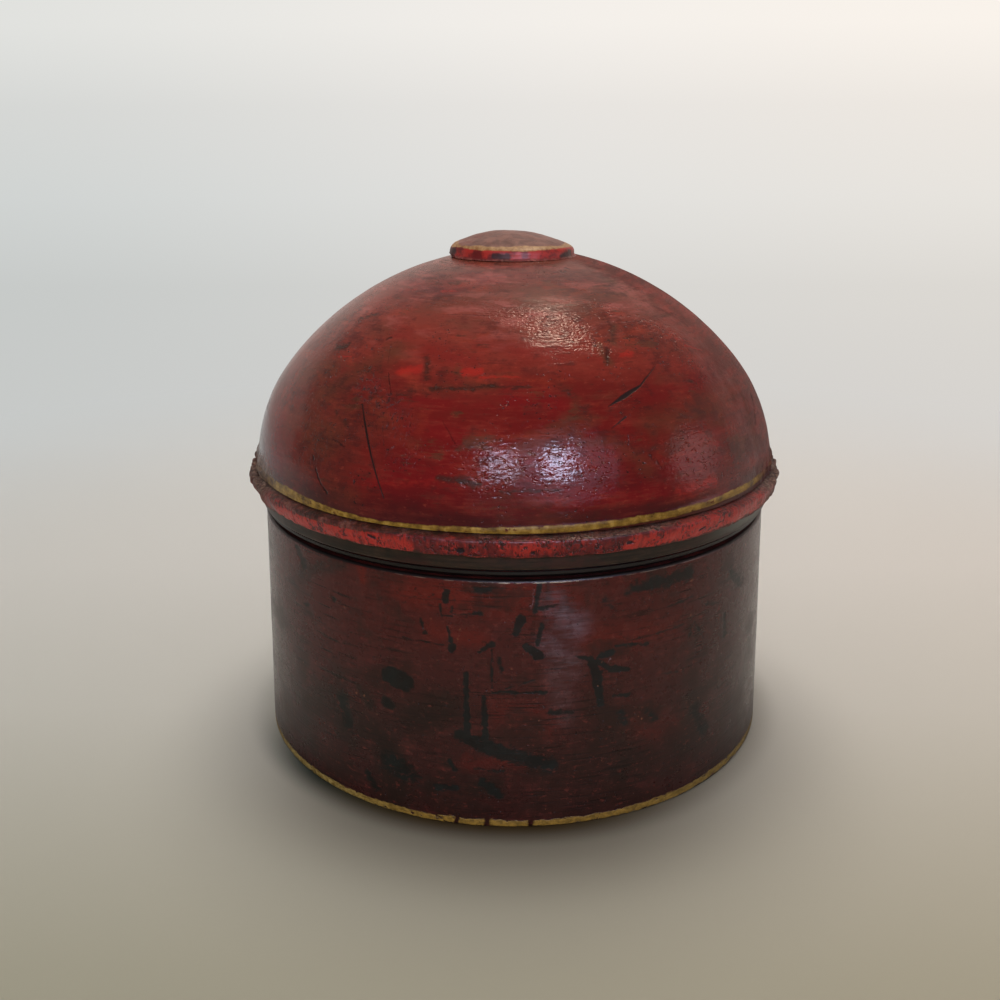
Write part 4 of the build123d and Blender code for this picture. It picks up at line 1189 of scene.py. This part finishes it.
lamps = {  # each stands off in a direction from a place on the box; light is what it serves
    "overhead": {"from": (0, 0, 0), "azimuth": 180, "elevation": 75, "away": 1600,
                 "size": 1000, "watts": 11.5, "tint": (255, 250, 244), "light": "soft"},
    "front": {"from": (0, 0, 60), "azimuth": -4, "elevation": 7, "away": 1500,
              "size": 700, "watts": 9.5, "tint": (255, 252, 250), "light": "soft"},
    "windowLeft": {"from": (-2.8, 88, 117), "azimuth": -6.6, "elevation": 28, "away": 1200,
                   "size": 220, "watts": 3.9, "tint": (222, 224, 255), "light": "gloss"},
    "windowRight": {"from": (8.3, 88, 117), "azimuth": 20, "elevation": 27.5, "away": 1200,
                    "size": 268, "watts": 8.8, "tint": (208, 220, 255), "light": "gloss"},
    "windowWall": {"from": (3, 88, 116), "azimuth": 22, "elevation": 25, "away": 1200,
                   "size": 1050, "watts": 5.4, "tint": (214, 206, 236), "light": "gloss"},
    "ceiling": {"from": (8, 62, 151.5), "azimuth": 142, "elevation": 72, "away": 1200,
                "size": 330, "watts": 7.0, "tint": (255, 228, 204), "light": "gloss"},
    "side": {"from": (38.4, 86, 114.5), "azimuth": 85, "elevation": 11, "away": 1000,
             "size": 500, "watts": 1.25, "tint": (255, 222, 222), "light": "gloss"},
}

room = {  # a pale wall behind, a dim room in front and overhead
    "towards": (0, 0.87, 0.5), "low": 0.8, "high": 0.98, "dim": 0.22, "bright": 0.64,
    "glow": (252, 246, 242), "backdrop": (221, 219, 214),
}

stage = {
    "width": 7000, "front": -5000, "bend": 1000, "bendRadius": 500, "height": 1100, "arcSteps": 24,
    # contact and before are the reaches of painted shadows round the foot
    "light": 0.72, "glowFrom": (260, 620), "contact": 11, "before": 46,
    "toneStart": 400, "toneRun": 2400,  # the paper's tones run from the front up the wall
    "sideAway": 600, "sideSoft": 250, "sideHalf": 26,  # left and right, as an angle from ahead
    "coolRun": (0, 1600), "warmRun": (500, 1500), "endRun": (-250, -1200), "endSide": (1100, 2600),
    "plain": (1, 1, 1, 1), "coolNear": (0.9, 0.935, 0.94, 1), "coolFar": (0.83, 0.87, 0.885, 1),
    "warm": (1.07, 1.04, 1.01, 1), "mirrored": (0.9, 0.72, 0.68),
}

sweepTones = {
    "front": (141, 139, 122), "frontHalf": (162, 158, 142), "near": (191, 188, 181),
    "beside": (203, 200, 196), "behind": (208, 207, 205), "far": (214, 213, 210),
    "wallFoot": (225, 224, 221), "wall": (231, 228, 224), "wallTop": (243, 239, 234),
    # the last three tones are painted shadow on the paper round the box
    "contactLeft": (52, 62, 60), "contactRight": (60, 48, 34), "before": (92, 78, 54),
}


def makeCamera():
    data = bpy.data.cameras.new("camera")
    data.lens = camera["lens"]
    data.sensor_width = camera["sensor"]
    data.clip_start = 0.01
    made = bpy.data.objects.new("camera", data)
    turn = Matrix.Rotation(radians(camera["turnLeft"]), 4, "Z")
    turn = turn @ Matrix.Rotation(radians(90 - camera["tiltDown"]), 4, "X")
    turn = turn @ Matrix.Rotation(radians(camera["roll"]), 4, "Z")
    made.matrix_world = Matrix.Translation(Vector(camera["place"]) * mm) @ turn
    bpy.context.scene.collection.objects.link(made)
    bpy.context.scene.camera = made


def makeLamps():
    for name, d in lamps.items():
        data = bpy.data.lights.new(name, "AREA")
        data.shape = "DISK"
        data.size = d["size"] * mm
        data.energy = d["watts"]
        data.color = seen(*d["tint"])[:3]
        made = bpy.data.objects.new(name, data)
        level = radians(d["elevation"])
        way = spot(d["azimuth"], cos(level), sin(level))
        place = Matrix.Translation((spot(*d["from"]) + way * d["away"]) * mm)
        made.matrix_world = place @ way.to_track_quat("Z", "Y").to_matrix().to_4x4()
        made.visible_camera = False
        made.visible_glossy = d["light"] == "gloss"
        made.visible_diffuse = d["light"] == "soft"
        bpy.context.scene.collection.objects.link(made)


def makeRoom():
    world = bpy.data.worlds.new("room")
    bpy.context.scene.world = world
    world.use_nodes = True
    nodes = Nodes(world.node_tree)
    way = nodes.node("ShaderNodeTexCoord", {}, {}, "Generated")
    towards = Vector(room["towards"]).normalized()
    share = nodes.vector("DOT_PRODUCT", way, tuple(towards), output=1).rise(room["low"], room["high"])
    light = share * (room["bright"] - room["dim"]) + room["dim"]
    glow = nodes.node("ShaderNodeBackground", {}, {"Color": seen(*room["glow"]), "Strength": light})
    plain = nodes.node("ShaderNodeBackground", {}, {"Color": seen(*room["backdrop"]), "Strength": 1.0})
    seenDirectly = nodes.node("ShaderNodeLightPath", {}, {}, "Is Camera Ray")
    both = nodes.node("ShaderNodeMixShader", {}, {0: seenDirectly, 1: glow, 2: plain})
    nodes.node("ShaderNodeOutputWorld", {}, {"Surface": both})


def makeStage():
    d = stage
    piece = bmesh.new()
    points = [(d["front"], 0), (d["bend"], 0)]
    for step in range(1, d["arcSteps"] + 1):
        turn = pi / 2 * step / d["arcSteps"]
        points.append((d["bend"] + d["bendRadius"] * sin(turn), d["bendRadius"] * (1 - cos(turn))))
    points.append((points[-1][0], d["height"]))
    row = [piece.verts.new((-d["width"] / 2 * mm, y * mm, z * mm)) for y, z in points]
    edges = [piece.edges.new(pair) for pair in zip(row, row[1:])]
    bmesh.ops.extrude_edge_only(piece, edges=edges)
    for vertex in set(piece.verts) - set(row):
        vertex.co.x += d["width"] * mm
    bmesh.ops.recalc_face_normals(piece, faces=piece.faces[:])
    piece.faces.ensure_lookup_table()
    if piece.faces[0].normal.z < 0:
        bmesh.ops.reverse_faces(piece, faces=piece.faces[:])
    stand(piece, "sweep", [sweepFinish()], sharp=80)


def sweepFinish():  # pale paper, greyer towards the front as painted shade, cool at the left and warm at the right
    paint = Finish("sweepPaper", sweepTones)
    d = stage
    run = paint.y + paint.z
    tone = paint.ramp((run + d["toneStart"]) / d["toneRun"], [
        (0.0, "front"), (0.1, "frontHalf"), (0.16, "near"), (0.22, "beside"), (0.32, "behind"),
        (0.65, "far"), (0.78, "wallFoot"), (0.88, "wall"), (0.95, "wallTop"),
    ])
    ahead = (paint.y + d["sideAway"]) * (paint.y + d["sideAway"])
    ahead = paint.maths("SQRT", ahead + d["sideSoft"] ** 2)
    across = paint.maths("ARCTAN2", paint.x, ahead) / radians(d["sideHalf"])
    left = paint.mix(run.rise(*d["coolRun"]), d["coolNear"], d["coolFar"])
    tone = paint.vector("MULTIPLY", tone, paint.mix(across.rise(0.2, -1), d["plain"], left))
    tone = paint.vector("MULTIPLY", tone, paint.mix(across.rise(-0.2, 1), d["plain"], d["warm"]))
    # a painted contact shadow on the paper round the foot, strongest at the front and front left
    contact = paint.radius.rise(drum["footRadius"] + d["contact"], drum["footRadius"] - 1)
    contact = contact * (paint.azimuth.rise(50, 5) * 0.7 + 0.3)
    contact = contact * (paint.azimuth.rise(-82, -44) * 0.8 + 0.2)
    shade = paint.mix(paint.azimuth.rise(-50, -12), "contactLeft", "contactRight")
    under = paint.mix(contact, tone, shade)
    # a broad painted shadow on the paper in front of the box
    before = paint.radius.rise(drum["footRadius"] + d["before"], drum["footRadius"])
    before = before * paint.azimuth.within(-44, 30, 18)
    under = paint.mix(before * 0.34, under, "before")
    surface = paint.node("ShaderNodeBsdfDiffuse", {}, {"Color": paint.scaled(under, 1 / d["light"])})
    path = paint.node("ShaderNodeLightPath", {}, {}, "Is Camera Ray")
    warm = paint.mix(run.rise(*d["warmRun"]), tone, paint.vector("MULTIPLY", tone, d["mirrored"]))
    unseen = run.rise(*d["endRun"]) | abs(paint.x).rise(*d["endSide"])
    tone = paint.mix(unseen, tone, seen(*room["backdrop"]))
    glowTone = paint.mix(path, warm, tone)
    glow = paint.node("ShaderNodeEmission", {}, {"Color": glowTone, "Strength": 1.0})
    glossy = Wire(paint, path.socket.node.outputs["Is Glossy Ray"])
    through = Wire(paint, path.socket.node.outputs["Is Transmission Ray"])
    far = paint.maths("SQRT", paint.x * paint.x + run * run).rise(*d["glowFrom"])
    glows = far * (path | glossy | through)
    both = paint.node("ShaderNodeMixShader", {}, {0: glows, 1: surface, 2: glow})
    paint.node("ShaderNodeOutputMaterial", {}, {"Surface": both})
    return paint.material


makeCamera()
makeLamps()
makeRoom()
makeStage()
print("camera, lamps, room and stage are ready")

inner = innerFinish("innerLacquer", (58, 16, 13), (98, 32, 24))
makeDrum([drumFinish(), inner, woodFinish()])
makeLidDome([domeFinish(), skirtFinish(), inner])
makeBead([beadFinish()])
makeButton([buttonFinish()])
print("the turned pieces stand")

smallFinishes = {
    "tray": smallFinish("trayLacquer", (44, 16, 14), (92, 30, 24)),
    "cup": smallFinish("cupLacquer", (116, 26, 20), (158, 48, 34)),
    "cup_lid": smallFinish("cupLidLacquer", (122, 28, 22), (168, 54, 38)),
}
for name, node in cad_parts.items():
    kind = "cup_lid" if name.startswith("cup_lid") else name.split("_")[0]
    if kind in smallFinishes:
        node.data.materials.clear()
        node.data.materials.append(smallFinishes[kind])
print("tray, cups and cup lids are finished")

bpy.context.scene.view_settings.view_transform = "Standard"

bpy.context.view_layer.update()
